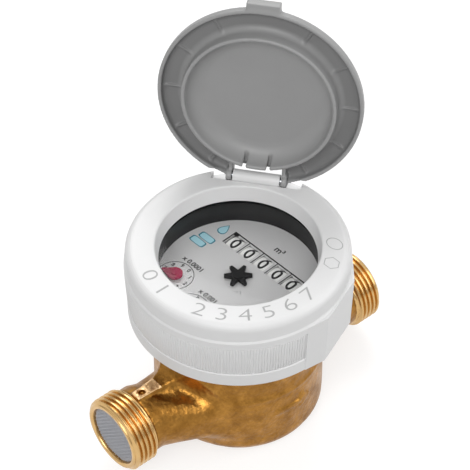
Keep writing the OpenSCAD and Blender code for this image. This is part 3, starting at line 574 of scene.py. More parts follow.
def word_shape(word, height, bold=0.0, step=None):
    """Triangles of a word in the built-in font, height mm tall, bold mm bolder, cut every step mm."""
    scale = height / FONT_HEIGHT
    curve = bpy.data.curves.new("word", "FONT")
    curve.body = word
    curve.align_x = "CENTER"
    curve.align_y = "CENTER"
    curve.resolution_u = 4
    curve.offset = bold * FONT_HEIGHT / height / 2
    holder = bpy.data.objects.new("word", curve)
    bpy.context.scene.collection.objects.link(holder)
    mesh = holder.evaluated_get(bpy.context.evaluated_depsgraph_get()).to_mesh()
    shape = bmesh.new()
    shape.from_mesh(mesh)
    bpy.data.objects.remove(holder)
    bmesh.ops.scale(shape, vec=(scale, scale, 1.0), verts=shape.verts)
    if step:
        for level in np.arange(-height, height, step):
            bmesh.ops.bisect_plane(shape, geom=shape.verts[:] + shape.edges[:] + shape.faces[:],
                                   plane_co=(0, level, 0), plane_no=(0, 1, 0))
    bmesh.ops.triangulate(shape, faces=shape.faces[:])
    flat = bpy.data.meshes.new("word")
    shape.to_mesh(flat)
    shape.free()
    points = np.empty(3 * len(flat.vertices), dtype=np.float32)
    faces = np.empty(3 * len(flat.polygons), dtype=np.int32)
    flat.vertices.foreach_get("co", points)
    flat.loops.foreach_get("vertex_index", faces)
    bpy.data.meshes.remove(flat)
    points = points.reshape(-1, 3)[:, :2].astype(float)
    points[:, 1] -= (points[:, 1].min() + points[:, 1].max()) / 2
    return points, faces.reshape(-1, 3)


def join(shapes):
    """Several (points, faces) pairs as one."""
    starts = np.cumsum([0] + [len(points) for points, _ in shapes[:-1]])
    faces = [faces + start for (_, faces), start in zip(shapes, starts)]
    return np.concatenate([points for points, _ in shapes]), np.concatenate(faces)


def heading(degrees):
    """Unit vector at that angle from the first axis to the second."""
    return np.array([math.cos(math.radians(degrees)), math.sin(math.radians(degrees))])


def turned(points, degrees):
    """Flat points turned round the origin."""
    c, s = heading(degrees)
    return points @ np.array([[c, s], [-s, c]])


def band_shape(outer, inner):
    """Triangles between two closed outlines of the same number of points."""
    n = len(outer)
    quads = quad_grid(2, n, True)
    return np.concatenate([outer, inner]), np.concatenate([quads[:, [0, 2, 1]], quads[:, [0, 3, 2]]])


def fan_shape(outline):
    """Triangles from the middle of an outline to its sides."""
    n = len(outline)
    i = np.arange(n)
    return (np.concatenate([outline, outline.mean(axis=0, keepdims=True)]),
            np.stack([i, (i + 1) % n, np.full(n, n)], axis=-1))


def bar_shape(a, b, width):
    """Straight line from a to b as two triangles."""
    a, b = np.array(a, float), np.array(b, float)
    side = np.array([-(b - a)[1], (b - a)[0]]) / np.linalg.norm(b - a) * width / 2
    return np.array([a + side, a - side, b - side, b + side]), np.array([[0, 1, 2], [0, 2, 3]])


def circle(radius, count=72):
    """Points of a circle."""
    t = np.linspace(0, 2 * np.pi, count, endpoint=False)
    return np.stack([radius * np.cos(t), radius * np.sin(t)], axis=-1)


def on_dial(points, lift):
    """Reading frame of the dial to the row frame: right is -Y and up is +X of the turned register."""
    flat = turned(np.stack([points[:, 1], -points[:, 0]], axis=-1), REGISTER_TURN)
    return np.column_stack([flat, np.full(len(flat), DIAL_Z + lift)])


def face_up(points, faces):
    """Turns triangles so that they look up."""
    a, b, c = (points[faces[:, i]] for i in range(3))
    down = np.cross(b - a, c - a)[:, 2] < 0
    faces = faces.copy()
    faces[down] = faces[down][:, ::-1]
    return faces


def soft_min(a, b, reach):
    """Union of two distance fields with a rounded corner of that reach."""
    h = np.maximum(reach - np.abs(a - b), 0.0) / reach
    return np.minimum(a, b) - h * h * reach / 4


def soft_max(a, b, reach):
    """Cut of two distance fields with a rounded corner of that reach."""
    return -soft_min(-a, -b, reach)


def box_field(x, y, z, middle, half):
    """Distance to a box."""
    q = [np.abs(v - m) - h for v, m, h in zip((x, y, z), middle, half)]
    outside = np.sqrt(sum(np.maximum(v, 0.0) ** 2 for v in q))
    return outside + np.minimum(np.maximum(np.maximum(q[0], q[1]), q[2]), 0.0)


def field_skin(field, low, step):
    """Points and quads of the zero surface of a distance field, sampled from low on every step mm."""
    grid = openvdb.FloatGrid(3 * step)
    grid.copyFromArray(np.clip(field, -3 * step, 3 * step).astype(np.float32))
    points, _, quads = grid.convertToPolygons(isovalue=0.0, adaptivity=0.0)
    points = np.asarray(points) * step + low
    return points, outward(points, np.asarray(quads))


def swell_field(along, side, z):
    """Pipe that swells to one side towards the body.

    Its sections are superellipses, round (power 2) at the neck and flat (power 4.4) at the body.
    """
    t = np.clip((along - SWELL_X[0]) / (SWELL_X[1] - SWELL_X[0]), 0.0, 1.0)
    inward = SWELL_X[1] - along
    reach = NECK_R + SWELL_SLOPE * np.clip(inward, 0.0, SWELL_SPAN)
    flat_side = NECK_R - SLIM * np.clip(inward / SLIM_SPAN, 0.0, 1.0)
    width = (reach + flat_side) / 2
    height = SWELL_HALF_Z + (NECK_R - SWELL_HALF_Z) * t * t
    power = 2.0 + 2.4 * (1 - t) ** 1.5
    u = (np.abs(side - (reach - flat_side) / 2) / width) ** power
    u = u + (np.abs(z - AXIS_Z) / height) ** power
    return (np.maximum(u, 1e-9) ** (1 / power) - 1) * np.minimum(width, height)


def arrow_field(x, z):
    """Distance below the outline of the flow arrow, a bar and a triangle seen from the side of the body."""
    off = np.abs(z - ARROW_Z)
    shaft = np.maximum(off - ARROW_SHAFT_HALF, np.maximum(ARROW_SHAFT[0] - x, x - ARROW_SHAFT[1]))
    slope = off * (ARROW_HEAD[1] - ARROW_HEAD[0]) - (ARROW_HEAD[1] - x) * ARROW_HEAD_HALF
    return np.minimum(shaft, np.maximum(ARROW_HEAD[0] - x, slope / ARROW_SLANT))


def cast_field(x, y, z, blend):
    """Distance field of the casting: turned body, swelling pipes, lug and arrow, less the water ways."""
    rho = np.sqrt(x * x + y * y)
    along = np.abs(x)
    side = np.sign(x) * y
    pipe_r = np.sqrt(y * y + (z - AXIS_Z) ** 2)
    # the wall steps out below the part line, which rises over the pipes and carries a low ridge
    below = np.maximum(PART_LINE_Z - z, RISE_R + RISE_SLOPE * (BODY_R - along) - pipe_r)
    wall = UPPER_R + (BODY_R - UPPER_R) * np.clip(0.5 + below / LINE_STEP, 0.0, 1.0)
    wall = wall + RIDGE_HEIGHT * np.exp(-(below / RIDGE_HALF) ** 2)
    q0, q1 = rho - (wall - BASE_ROUND), BASE_ROUND - z
    field = np.sqrt(np.maximum(q0, 0) ** 2 + np.maximum(q1, 0) ** 2)
    field = field + np.minimum(np.maximum(q0, q1), 0) - BASE_ROUND
    # the pipes blend in widely on the side that swells, and closely on the other
    pipe = np.where(along > SWELL_X[1], pipe_r - NECK_R, swell_field(along, side, z))
    swell_side = np.clip(0.5 + side / 12.0, 0.0, 1.0)
    field = soft_min(field, np.maximum(pipe, along - NECK_END), blend * (0.3 + 0.7 * swell_side))
    # the lug gets wider towards the body and ends there in a round root
    lug_half = LUG_HALF + LUG_TAPER * np.clip(LUG_TAPER_X - along, 0.0, LUG_TAPER_SPAN)
    lug = np.maximum(np.abs(y) - lug_half, np.abs(z - LUG_MID_Z) - (LUG_TOP - LUG_MID_Z))
    lug = np.maximum(lug, np.maximum(x - LUG_X[1], LUG_X[0] - x))
    root = np.clip((x - ROOT_X) / ROOT_SPAN, 0.0, 1.0)
    field = soft_min(field, lug, ROOT_BLEND[0] + ROOT_BLEND[1] * root)
    ring = np.maximum(rho - LIP_R, np.maximum(LIP_Z[0] - z, z - LIP_Z[1]))
    field = soft_min(field, ring, 0.8)
    arrow = np.maximum(rho - BODY_R - ARROW_LIFT, arrow_field(x, z))
    arrow = np.maximum(arrow, np.maximum(y, 26.0 - rho))
    field = soft_min(field, arrow, 0.3)
    # plane waves in drawn directions make the skin uneven
    rng = np.random.default_rng(CAST_SEED)
    for wave in CAST_WAVES:
        turn = rng.normal(size=3)
        turn /= np.linalg.norm(turn)
        shift = rng.uniform(0, 6.28)
        phase = 2 * np.pi * (turn[0] * x + turn[1] * y + turn[2] * z) / wave + shift
        field = field + CAST_WAVINESS * wave * np.sin(phase)
    field = soft_max(field, z - LIP_Z[1], 0.4)
    field = np.maximum(field, -z)
    # bores, with a little room round the pieces that sit in them
    hole = np.sqrt((x - SEAL_HOLE_X) ** 2 + y * y) - SEAL_HOLE_R
    for hollow in (
            np.maximum(pipe_r - BORE_R - 0.15, BORE_X - along),
            np.maximum(pipe_r - WAY_R, WAY_END - along),
            np.maximum(rho - CHAMBER_R, np.maximum(CHAMBER_Z[0] - z, z - SEAT_Z)),
            np.maximum(rho - SEAT_R - 0.2, CHAMBER_Z[1] - z),
            np.maximum(rho - REGISTER_BORE_R - 0.1, SEAT_Z - z),
            np.maximum(hole, LUG_TOP - SEAL_HOLE_DEPTH - z)):
        field = np.maximum(field, -hollow)
    return field


class METER_OT_cast_body(bpy.types.Operator):
    """Makes the brass casting as the zero surface of a distance field with soft corners"""
    bl_idname = "meter.cast_body"
    bl_label = "Cast body"

    def execute(self, context):
        sizes = context.scene.meter_sizes
        step = sizes.cast_grid / MM
        low, high = np.array([-46.0, -32.0, -1.5]), np.array([46.0, 32.0, 49.5])
        counts = np.ceil((high - low) / step).astype(int)
        axes = [low[i] + step * np.arange(counts[i], dtype=np.float32) for i in range(3)]
        x, y, z = np.meshgrid(*axes, indexing="ij")
        points, faces = field_skin(cast_field(x, y, z, sizes.cast_blend / MM), low, step)
        piece = place_mesh("cast_body", points, faces, MATERIALS["cast_brass"], "meter")
        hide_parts("meter_body")
        return {"FINISHED"}


def lid_field(u, v, z):
    """Distance field of the closed lid: a domed dish with a soft inner corner, ring, ribs, tab and ears."""
    rho = np.sqrt(u * u + v * v)
    dome = np.sqrt(rho * rho + (z - LID_TOP + DOME_R) ** 2)
    outer = soft_max(dome - DOME_R, rho - LID_R, 0.8)
    field = np.maximum(outer, RIM_Z - z)
    # the dish is hollow under an even skin, which is thinner over the outer groove
    skin = LID_SKIN - GROOVE_THINNER * np.clip((rho - GROOVE_R) / GROOVE_SPAN, 0.0, 1.0)
    field = np.maximum(field, -soft_max(rho - LID_R + LID_WALL, dome - DOME_R + skin, 1.6))
    ring = soft_max(np.abs(rho - RING_R) - RING_HALF, np.abs(z - RING_Z) - RING_HALF_Z, 0.2)
    field = soft_min(field, ring, np.where(rho < 25.0, 6.0, 2.5))
    # ribs cross the groove at even steps, except at the tab, and nothing comes out through the skin
    turn = np.degrees(np.arctan2(v, u))
    across = rho * np.sin(np.radians(np.mod(turn + RIB_STEP / 2, RIB_STEP) - RIB_STEP / 2))
    rib = np.maximum(np.abs(across) - RIB_HALF, np.abs(rho - RIB_R) - RIB_REACH)
    rib = np.maximum(rib, np.abs(z - RIB_Z) - RIB_HALF_Z)
    field = soft_min(field, np.where(np.abs(turn) > 180.0 - RIB_STEP / 2, 9.0, rib), 0.5)
    field = np.maximum(field, outer)
    field = soft_min(field, box_field(u, v, z, *TAB_BOX) - 0.2, 0.6)
    # a notch takes the cap's hinge barrel, with a wall and an ear on each side of it
    field = np.maximum(field, -np.maximum(NOTCH_U - u, np.abs(v) - NOTCH_HALF))
    wall = box_field(u, v, z, (29.5, NOTCH_WALL_V * np.sign(v), 75.0), (4.1, 0.65, 2.1))
    field = soft_min(field, np.maximum(wall, outer), 0.6)
    pin = np.sqrt((u - HINGE_R) ** 2 + (z - HINGE_Z) ** 2)
    block = np.maximum(np.abs(u - HINGE_R) - EAR_R, np.abs(z - 74.2) - 1.3)
    ear = np.maximum(np.minimum(pin - EAR_R, block), np.abs(np.abs(v) - EAR_V) - EAR_HALF)
    field = soft_min(field, ear, 0.4)
    field = np.maximum(field, PIN_HOLE_R - pin)
    # two slots run through the ring beside the barrel
    slots = np.maximum(np.abs(np.abs(v) - SLOT_V) - SLOT_HALF, np.abs(u - 24.2) - 2.4)
    return np.maximum(field, -np.maximum(slots, z - 75.0))


class METER_OT_lid_shell(bpy.types.Operator):
    """Makes the lid as the zero surface of a distance field, and swings it open on its pin"""
    bl_idname = "meter.lid_shell"
    bl_label = "Lid shell"

    def execute(self, context):
        step = context.scene.meter_sizes.lid_grid / MM
        low, high = np.array([-38.0, -36.0, 68.0]), np.array([36.5, 36.0, 81.0])
        axes = [np.arange(low[i], high[i], step, dtype=np.float32) for i in range(3)]
        points, faces = field_skin(lid_field(*np.meshgrid(*axes, indexing="ij")), low, step)
        # painted shade darkens the deep outer groove, inside the skin
        rho = np.hypot(points[:, 0], points[:, 1])
        deep = np.clip(points[:, 2] - RIM_Z - 0.2, 0.0, 1.0)
        inner = np.clip((rho - 26.0) / 2.0, 0.0, 1.0)
        rim = np.clip((LID_R - 0.7 - rho) / 0.5, 0.0, 1.0)
        dome = np.sqrt(rho * rho + (points[:, 2] - LID_TOP + DOME_R) ** 2)
        dust = np.where(dome < DOME_R - 0.4, deep * inner * rim, 0.0).astype(np.float32)
        c, s = heading(LID_OPEN)
        du, dz = points[:, 0] - HINGE_R, points[:, 2] - HINGE_Z
        flat = turned(np.stack([HINGE_R + du * c + dz * s, points[:, 1]], axis=-1), HINGE_TURN)
        points = np.column_stack([flat, HINGE_Z - du * s + dz * c])
        piece = place_mesh("lid_shell", points, faces, MATERIALS["grey_plastic"], "lid")
        piece.data.attributes.new("dust", "FLOAT", "POINT").data.foreach_set("value", dust)
        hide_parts("lid")
        return {"FINISHED"}


class METER_OT_pipe_threads(bpy.types.Operator):
    """Carries the end profile round the pipe axis, with a right hand helix over the threaded part"""
    bl_idname = "meter.pipe_threads"
    bl_label = "Pipe threads"

    def execute(self, context):
        sizes, colours = context.scene.meter_sizes, context.scene.meter_colours
        pitch, depth = sizes.thread_pitch / MM, sizes.thread_depth / MM
        root = THREAD_R - depth
        material = turned_brass(colours)
        x_thread = np.linspace(THREAD_X[1], THREAD_X[0], 112)
        # profile as (x, radius): bore and end face before the thread, collar and bore behind it
        lead_in = [(BORE_X + 0.2, BORE_R), (54.4, BORE_R), (54.75, BORE_R + 0.12), (END_X, BORE_R + 0.45),
                   (END_X, root - 0.35), (54.9, root - 0.1)]
        lead_out = [(NECK_END + 0.1, NECK_R + 0.05), (NECK_END - 0.5, NECK_R - 0.3),
                    (NECK_END - 0.5, BORE_R + 0.5), (BORE_X + 0.2, BORE_R + 0.5)]
        threaded = np.column_stack([x_thread, np.full(len(x_thread), root)])
        xs, base = np.concatenate([lead_in, threaded, lead_out]).T
        # the crests fade out at both ends of the thread
        cut = np.zeros(len(xs))
        first = len(lead_in)
        ends = np.minimum((THREAD_X[1] - x_thread) / 0.8, (x_thread - THREAD_X[0]) / 1.3)
        cut[first:first + len(x_thread)] = np.clip(ends, 0.0, 1.0)
        turn = np.linspace(0, 2 * np.pi, 168, endpoint=False)
        last = (len(xs) - 1) * len(turn)
        i = np.arange(len(turn))
        n = (i + 1) % len(turn)
        seam = np.stack([last + i, last + n, n, i], axis=-1)
        faces = np.concatenate([quad_grid(len(xs), len(turn), True), seam])
        for side, name in ((-1, "inlet_thread_turns"), (1, "outlet_thread_turns")):
            xw = side * xs[:, None]
            wave = np.abs(2 * np.mod(xw / pitch - turn[None, :] / (2 * np.pi), 1.0) - 1)
            crest = np.clip((wave - 0.2) / 0.52, 0.0, 1.0)
            crest = 0.6 * crest + 0.4 * crest * crest * (3 - 2 * crest)
            radius = base[:, None] + depth * cut[:, None] * crest
            points = np.stack([np.broadcast_to(xw, radius.shape), radius * np.cos(turn),
                               AXIS_Z + radius * np.sin(turn)], axis=-1).reshape(-1, 3)
            place_mesh(name, points, outward(points, faces), material, "meter")
        return {"FINISHED"}


class METER_OT_strainer_gauze(bpy.types.Operator):
    """Weaves square wires over the strainer: chords of its disc that wave over and under each other"""
    bl_idname = "meter.strainer_gauze"
    bl_label = "Strainer gauze"

    def execute(self, context):
        pitch = context.scene.meter_sizes.gauze_pitch / MM
        rows = np.arange(-int(GAUZE_R / pitch), int(GAUZE_R / pitch) + 1)
        offset = rows * pitch
        along = np.linspace(-1.0, 1.0, WIRE_STEPS) * np.sqrt(GAUZE_R ** 2 - offset ** 2)[:, None]
        wave = WIRE_WAVE * np.cos(np.pi * along / pitch + np.pi * rows[:, None])[..., None]
        shape = (len(rows), WIRE_STEPS, 4)
        across = np.array([-1, 1, 1, -1]) * WIRE_HALF
        deep = np.array([-1, -1, 1, 1]) * WIRE_HALF
        run = np.broadcast_to(along[..., None], shape)
        set_off = np.broadcast_to(offset[:, None, None] + across, shape)
        caps = np.array([[0, 1, 2, 3], np.array([3, 2, 1, 0]) + 4 * (WIRE_STEPS - 1)])
        wire = np.concatenate([quad_grid(WIRE_STEPS, 4, True)[:, ::-1], caps[:, ::-1]])
        faces = (wire[None] + (np.arange(len(rows)) * WIRE_STEPS * 4)[:, None, None]).reshape(-1, 4)
        warp = np.stack([GAUZE_X + wave + deep, run, AXIS_Z + set_off], axis=-1).reshape(-1, 3)
        weft = np.stack([GAUZE_X - wave + deep, set_off, AXIS_Z + run], axis=-1).reshape(-1, 3)
        points = np.concatenate([warp, weft])
        faces = np.concatenate([outward(warp, faces), outward(weft, faces) + len(warp)])
        place_mesh("strainer_gauze", points, faces, MATERIALS["strainer_plastic"], "meter",
                   smooth=False)
        return {"FINISHED"}


class METER_OT_grip_knurl(bpy.types.Operator):
    """Sets a ring of upright ribs into the recessed band of the cap, left out at the flat pad"""
    bl_idname = "meter.grip_knurl"
    bl_label = "Grip knurl"

    def execute(self, context):
        sizes = context.scene.meter_sizes
        per_rib = 6
        span = 360.0 - 2 * PAD_HALF
        ribs = round(sizes.knurl_count * span / 360.0)
        turn = np.radians(PAD_TURN + PAD_HALF + np.linspace(0.0, span, ribs * per_rib + 1))
        phase = np.arange(len(turn)) / per_rib
        rib = 0.5 - 0.5 * np.cos(2 * np.pi * phase)
        rib = np.clip(1.35 * rib - 0.1, 0.0, 1.0)
        level = np.array([0.0, 0.0, 0.03, 0.08, 0.5, 0.92, 0.97, 1.0, 1.0])
        height = np.array([-0.25, 0.02, 0.55, 1.0, 1.0, 1.0, 0.55, 0.02, -0.25])
        z = BAND_Z[0] + level * (BAND_Z[1] - BAND_Z[0])
        ground = BAND_R[0] + level * (BAND_R[1] - BAND_R[0])
        rise = np.where(height < 0, height, 0.05 + height * sizes.knurl_height / MM)[:, None]
        radius = ground[:, None] + np.where(rise < 0, rise, rise * (0.15 + 0.85 * rib[None, :]))
        points = np.stack([radius * np.cos(turn), radius * np.sin(turn),
                           np.broadcast_to(z[:, None], radius.shape)], axis=-1).reshape(-1, 3)
        faces = quad_grid(len(level), len(turn), False)
        place_mesh("grip_knurl", points, faces, MATERIALS["white_plastic"], "meter")
        return {"FINISHED"}


class METER_OT_cap_digits(bpy.types.Operator):
    """Lays plain digits along the near arc of the cap's top face"""
    bl_idname = "meter.cap_digits"
    bl_label = "Cap digits"

    def execute(self, context):
        sizes, colours = context.scene.meter_sizes, context.scene.meter_colours
        height = sizes.cap_digit_height / MM
        shapes = []
        for sign, angle in zip("01-234567", np.linspace(*CAP_DIGIT_ARC, 9)):
            points, faces = word_shape(sign, 0.2 * height if sign == "-" else height, bold=-0.2)
            points = turned(points * np.array([CAP_DIGIT_STRETCH, 1.0]), angle + 90.0)
            shapes.append((points + CAP_DIGIT_R * heading(angle), faces))
        oval = circle(1.0) * np.array([3.1, 2.3])
        hexagon = circle(3.0, 6) * np.array([1.0, 0.85])
        for outline, angle in ((oval, -40.5), (hexagon, -56.7)):
            points, faces = band_shape(outline, outline * 0.9)
            shapes.append((turned(points, REGISTER_TURN - 90.0) + CAP_MARK_R * heading(angle), faces))
        points, faces = join(shapes)
        points = np.column_stack([points, np.full(len(points), CAP_TOP + sizes.print_lift / MM)])
        material = ink_finish("engraved_line", colours)
        place_mesh("cap_digits", points, face_up(points, faces), material, "meter")
        return {"FINISHED"}


def pointer_scales():
    """A ring, ten ticks and ten numbers round each pointer, and its factor above it."""
    numbers = [word_shape(str(n), 1.5, bold=0.12) for n in range(10)]
    ring, ring_faces = band_shape(circle(SCALE_R + SCALE_LINE), circle(SCALE_R))
    shapes = []
    for k, factor in enumerate(("x 0.0001", "x 0.001", "x 0.01", "x 0.1")):
        middle = POINTER_RING_R * heading(POINTER_FIRST + k * POINTER_STEP + 90.0)
        shapes.append((ring + middle, ring_faces))
        for n, (points, faces) in enumerate(numbers):
            out = heading(SCALE_ZERO - 36.0 * n)
            shapes.append((points + middle + SCALE_NUMBER_R * out, faces))
            shapes.append(bar_shape(middle + SCALE_TICK_R * out, middle + SCALE_R * out, 0.16))
        points, faces = word_shape(factor, 1.9, bold=0.14)
        shapes.append((points + middle + np.array([0.5, 7.9]), faces))
    return shapes


def window_lines():
    """Painted shadows in black: lines above and left of the roller window, a block in its corner, and a
    line beside each digit for the dark gap between rollers.
    """
    top, low = ROLLER_X + WINDOW_HALF, ROLLER_X - WINDOW_HALF
    left, right = -(ROLLER_Y + FRAME_HALF), -(ROLLER_Y - FRAME_HALF)
    half = FRAME_LINE / 2
    shapes = [bar_shape((left - 0.3, top + half), (right + 0.3, top + half), FRAME_LINE),
              bar_shape((left - half, top + FRAME_LINE), (left - half, low), FRAME_LINE),
              bar_shape((left, top - 0.55), (left + 1.6, top - 0.55), 1.1)]
    for k in range(5):
        edge = -(ROLLER_Y - 2 * ROLLER_PITCH + k * ROLLER_PITCH) + ROLLER_PITCH / 2 + 0.45
        shapes.append(bar_shape((edge, top), (edge, low - 0.2), 0.36))
    return shapes


def blue_marks():
    """Outlines of a drop and of two tablets, which are superellipses."""
    t = np.linspace(0, 2 * np.pi, 48, endpoint=False)
    drop = np.stack([2.3 * np.sin(t) * np.sin(t / 2) ** 1.2, -2.6 * np.cos(t)], axis=-1)
    tablet = np.stack([3.2 * np.sign(np.cos(t)) * np.abs(np.cos(t)) ** 0.4,
                       1.45 * np.sign(np.sin(t)) * np.abs(np.sin(t)) ** 0.4], axis=-1)
    return [turned(drop, 180.0) + np.array([-19.6, 12.2]), tablet + np.array([-20.6, 5.2]),
            tablet + np.array([-21.6, 1.9])]


class METER_OT_dial_print(bpy.types.Operator):
    """Prints circles, numbers, factors and plain marks on the dial, and black lines of painted shadow round
    the roller window
    """
    bl_idname = "meter.dial_print"
    bl_label = "Dial print"

    def execute(self, context):
        sizes, colours = context.scene.meter_sizes, context.scene.meter_colours
        lift = sizes.print_lift / MM
        # the black print also holds the painted shadow lines round the roller window
        black = pointer_scales() + window_lines()
        for k in range(3):
            out = heading(-38.0 - 9.0 * k)
            black.append(bar_shape(6.0 * out, (7.8 - 0.5 * k) * out, 0.14))
        points, faces = word_shape("m³", 2.6, bold=0.14)
        black.append((points + np.array([0.7, 18.6]), faces))
        fields, lines = [], []
        for outline in blue_marks():
            core = outline.mean(axis=0)
            fields.append(fan_shape(outline))
            lines.append(band_shape(outline, core + (outline - core) * MARK_INSIDE))
        for name, shapes, ink, up in (("dial_print", black, "printing_ink", lift),
                                      ("blue_fields", fields, "blue_ink", lift),
                                      ("teal_lines", lines, "teal_ink", lift * 1.8)):
            flat, faces = join(shapes)
            inside = np.linalg.norm(flat, axis=1) < DIAL_R - 0.1
            points = on_dial(flat, up)
            faces = face_up(points, faces[inside[faces].all(axis=1)])
            place_mesh(name, points, faces, ink_finish(ink, colours), "meter")
        return {"FINISHED"}


class METER_OT_window_bars(bpy.types.Operator):
    """Closes the gaps between the digit rollers with narrow bars in the dial's window"""
    bl_idname = "meter.window_bars"
    bl_label = "Window bars"

    def execute(self, context):
        shapes = []
        t = np.linspace(0, np.pi, 9)
        along = np.array([ROLLER_X - WINDOW_HALF - 0.05, ROLLER_X + WINDOW_HALF + 0.05])
        for k in range(6):
            y = ROLLER_Y - 2.5 * ROLLER_PITCH + k * ROLLER_PITCH
            half = BAR_HALF if 0 < k < 5 else END_BAR_HALF
            crown = np.stack([half * np.cos(t), BAR_SIDE + BAR_CROWN * np.sin(t)], axis=-1)
            profile = np.concatenate([[[half, BAR_FOOT]], crown, [[-half, BAR_FOOT]]])
            flat = np.stack([np.repeat(along, len(profile)), y + np.tile(profile[:, 0], 2)], axis=-1)
            flat = turned(flat, REGISTER_TURN)
            points = np.column_stack([flat, DIAL_Z + np.tile(profile[:, 1], 2)])
            shapes.append((points, quad_grid(2, len(profile), True)))
        points, faces = join(shapes)
        place_mesh("window_bars", points, faces, MATERIALS["dial_face"], "meter")
        return {"FINISHED"}


class METER_OT_roller_digits(bpy.types.Operator):
    """Wraps the numbers 0 to 9 round each digit roller"""
    bl_idname = "meter.roller_digits"
    bl_label = "Roller digits"

    def execute(self, context):
        sizes, colours = context.scene.meter_sizes, context.scene.meter_colours
        ink = ink_finish("roller_ink", colours)
        radius = ROLLER_R + sizes.print_lift / MM
        digits = [word_shape(str(n), sizes.digit_height / MM, bold=0.22, step=0.45) for n in range(10)]
        for k in range(5):
            y = ROLLER_Y - 2 * ROLLER_PITCH + k * ROLLER_PITCH
            shapes = []
            for n, (flat, faces) in enumerate(digits):
                angle = flat[:, 1] / radius - math.radians(36.0 * n)
                x = ROLLER_X + radius * np.sin(angle)
                spot = turned(np.stack([x, y - flat[:, 0] * DIGIT_SQUEEZE], axis=-1), REGISTER_TURN)
                shapes.append((np.column_stack([spot, ROLLER_Z + radius * np.cos(angle)]), faces))
            points, faces = join(shapes)
            middle = turned(np.array([[ROLLER_X, y]]), REGISTER_TURN)[0]
            a, b, c = (points[faces[:, i]] for i in range(3))
            normal = np.cross(b - a, c - a)
            away = (a + b + c) / 3 - np.array([middle[0], middle[1], ROLLER_Z])
            inward = np.einsum("ij,ij->i", normal, away) < 0
            faces[inward] = faces[inward][:, ::-1]
            place_mesh(f"roller_digits_{k + 1}", points, faces, ink,
                       f"digit_roller_{k + 1}_body")
        return {"FINISHED"}


class METER_OT_node_finishes(bpy.types.Operator):
    """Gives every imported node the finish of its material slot"""
    bl_idname = "meter.node_finishes"
    bl_label = "Node finishes"

    def execute(self, context):
        MATERIALS.update(node_materials(context.scene.meter_colours))
        slots = {row["node"]: row["material_slot"] for row in frame["record"]["subparts"]}
        for name, thing in frame["nodes"].items():
            if not thing.material_slots:
                thing.data.materials.append(None)
            for place in thing.material_slots:
                place.material = MATERIALS[slots[name]]
        return {"FINISHED"}


def add_camera(scene):
    """Camera at the angle, distance and lens that were fitted to the photograph."""
    lift, swing = math.radians(CAMERA_LIFT), math.radians(CAMERA_SWING)
    back = Vector((math.sin(swing) * math.cos(lift), -math.cos(swing) * math.cos(lift), math.sin(lift)))
    right = Vector((math.cos(swing), math.sin(swing), 0.0))
    target = Vector(CAMERA_TARGET)
    camera = bpy.data.objects.new("camera", bpy.data.cameras.new("camera"))
    camera.location = target + CAMERA_AWAY * back
    aim = target + AIM_UP * back.cross(right) - AIM_LEFT * right
    camera.rotation_euler = (aim - camera.location).to_track_quat("-Z", "Y").to_euler()
    camera.data.sensor_width = SENSOR
    camera.data.lens = SENSOR * FOCAL_PX / FRAME_PX
    camera.data.clip_end = 20.0
    scene.collection.objects.link(camera)
    scene.camera = camera


def add_lamps(scene):
    """Soft square lamps that look at the middle of the part."""
    for name, place, size, power in LAMPS:
        lamp = bpy.data.objects.new(name, bpy.data.lights.new(name, "AREA"))
        lamp.data.size = size
        lamp.data.energy = power
        lamp.location = place
        lamp.rotation_euler = (Vector(LAMP_AIM) - Vector(place)).to_track_quat("-Z", "Y").to_euler()
        scene.collection.objects.link(lamp)


def add_floor(scene):
    """Pale matt floor that takes the shadow, and glows where it is seen, mirrored or behind glass."""
    r = FLOOR_HALF
    mesh = bpy.data.meshes.new("floor")
    mesh.from_pydata([(-r, -r, 0), (r, -r, 0), (r, r, 0), (-r, r, 0)], [], [(0, 1, 2, 3)])
    floor = bpy.data.objects.new("floor", mesh)
    scene.collection.objects.link(floor)
    material, tree = new_material("pale_floor")
    seen = any_ray(tree, add(tree, "ShaderNodeLightPath"), "Camera", "Glossy", "Transmission")
    glow = add(tree, "ShaderNodeMath", {0: seen, 1: FLOOR_GLOW}, operation="MULTIPLY")
    surface = add(tree, "ShaderNodeBsdfPrincipled",
                  {"Base Color": (FLOOR_GREY, FLOOR_GREY, FLOOR_GREY, 1.0), "Roughness": 0.9,
                   "Specular IOR Level": 0.0, "Emission Color": WHITE,
                   "Emission Strength": glow.outputs[0]})
    add(tree, "ShaderNodeOutputMaterial", {"Surface": surface.outputs["BSDF"]})
    mesh.materials.append(material)


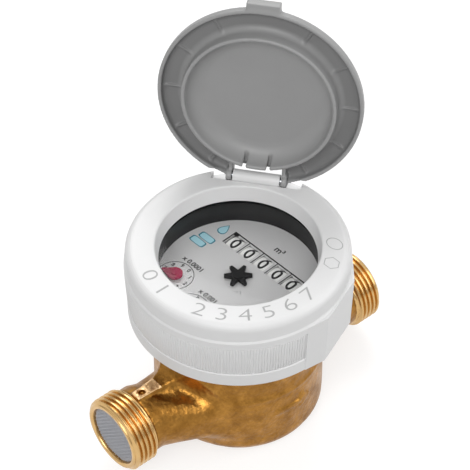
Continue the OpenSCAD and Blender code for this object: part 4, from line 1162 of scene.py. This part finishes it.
def add_world(scene):
    """White room: white where it is seen, brighter above than below where it is mirrored, dim as light."""
    world = bpy.data.worlds.new("white_room")
    world.use_nodes = True
    tree = world.node_tree
    tree.nodes.clear()
    path = add(tree, "ShaderNodeLightPath")
    seen = any_ray(tree, path, "Camera", "Transmission")
    place = add(tree, "ShaderNodeTexCoord").outputs["Generated"]
    way = add(tree, "ShaderNodeSeparateXYZ", {"Vector": place})
    ceiling = add(tree, "ShaderNodeMapRange",
                  {"Value": way.outputs["Z"], "From Min": 0.05, "From Max": 0.75,
                   "To Min": ROOM_DIM, "To Max": 1.0})
    shine = add(tree, "ShaderNodeMix", {0: path.outputs["Is Glossy Ray"], 2: ROOM_DIM,
                                        3: ceiling.outputs["Result"]})
    strength = add(tree, "ShaderNodeMix", {0: seen, 2: shine.outputs[0], 3: 1.0})
    sky = add(tree, "ShaderNodeBackground", {"Color": WHITE, "Strength": strength.outputs[0]})
    add(tree, "ShaderNodeOutputWorld", {"Surface": sky.outputs["Background"]})
    scene.world = world


class METER_OT_stage(bpy.types.Operator):
    """Sets the camera, the soft lamps, the pale floor and the world"""
    bl_idname = "meter.stage"
    bl_label = "Stage"

    def execute(self, context):
        scene = context.scene
        scene.view_settings.view_transform = "Standard"
        add_camera(scene)
        add_lamps(scene)
        add_floor(scene)
        add_world(scene)
        return {"FINISHED"}


STEPS = (
    METER_OT_node_finishes, METER_OT_cast_body, METER_OT_lid_shell, METER_OT_pipe_threads,
    METER_OT_strainer_gauze, METER_OT_grip_knurl, METER_OT_cap_digits, METER_OT_dial_print,
    METER_OT_window_bars, METER_OT_roller_digits, METER_OT_stage)


class METER_PT_panel(bpy.types.Panel):
    """Lists the steps that dress the meter"""
    bl_idname = "METER_PT_panel"
    bl_label = "Water meter"
    bl_space_type = "VIEW_3D"
    bl_region_type = "UI"
    bl_category = "Meter"

    def draw(self, context):
        for step in STEPS:
            self.layout.operator(step.bl_idname)


CLASSES = (MeterSizes, MeterColours) + STEPS + (METER_PT_panel,)


def register():
    """Registers the classes and their properties."""
    for item in CLASSES:
        bpy.utils.register_class(item)
    bpy.types.Scene.meter_sizes = PointerProperty(type=MeterSizes)
    bpy.types.Scene.meter_colours = PointerProperty(type=MeterColours)


def unregister():
    """Takes the classes and their properties away again."""
    del bpy.types.Scene.meter_colours
    del bpy.types.Scene.meter_sizes
    for item in reversed(CLASSES):
        bpy.utils.unregister_class(item)


def main():
    """Runs every step in order."""
    register()
    for step in STEPS:
        getattr(bpy.ops.meter, step.bl_idname.split(".")[1])()


if __name__ == "__main__":
    main()
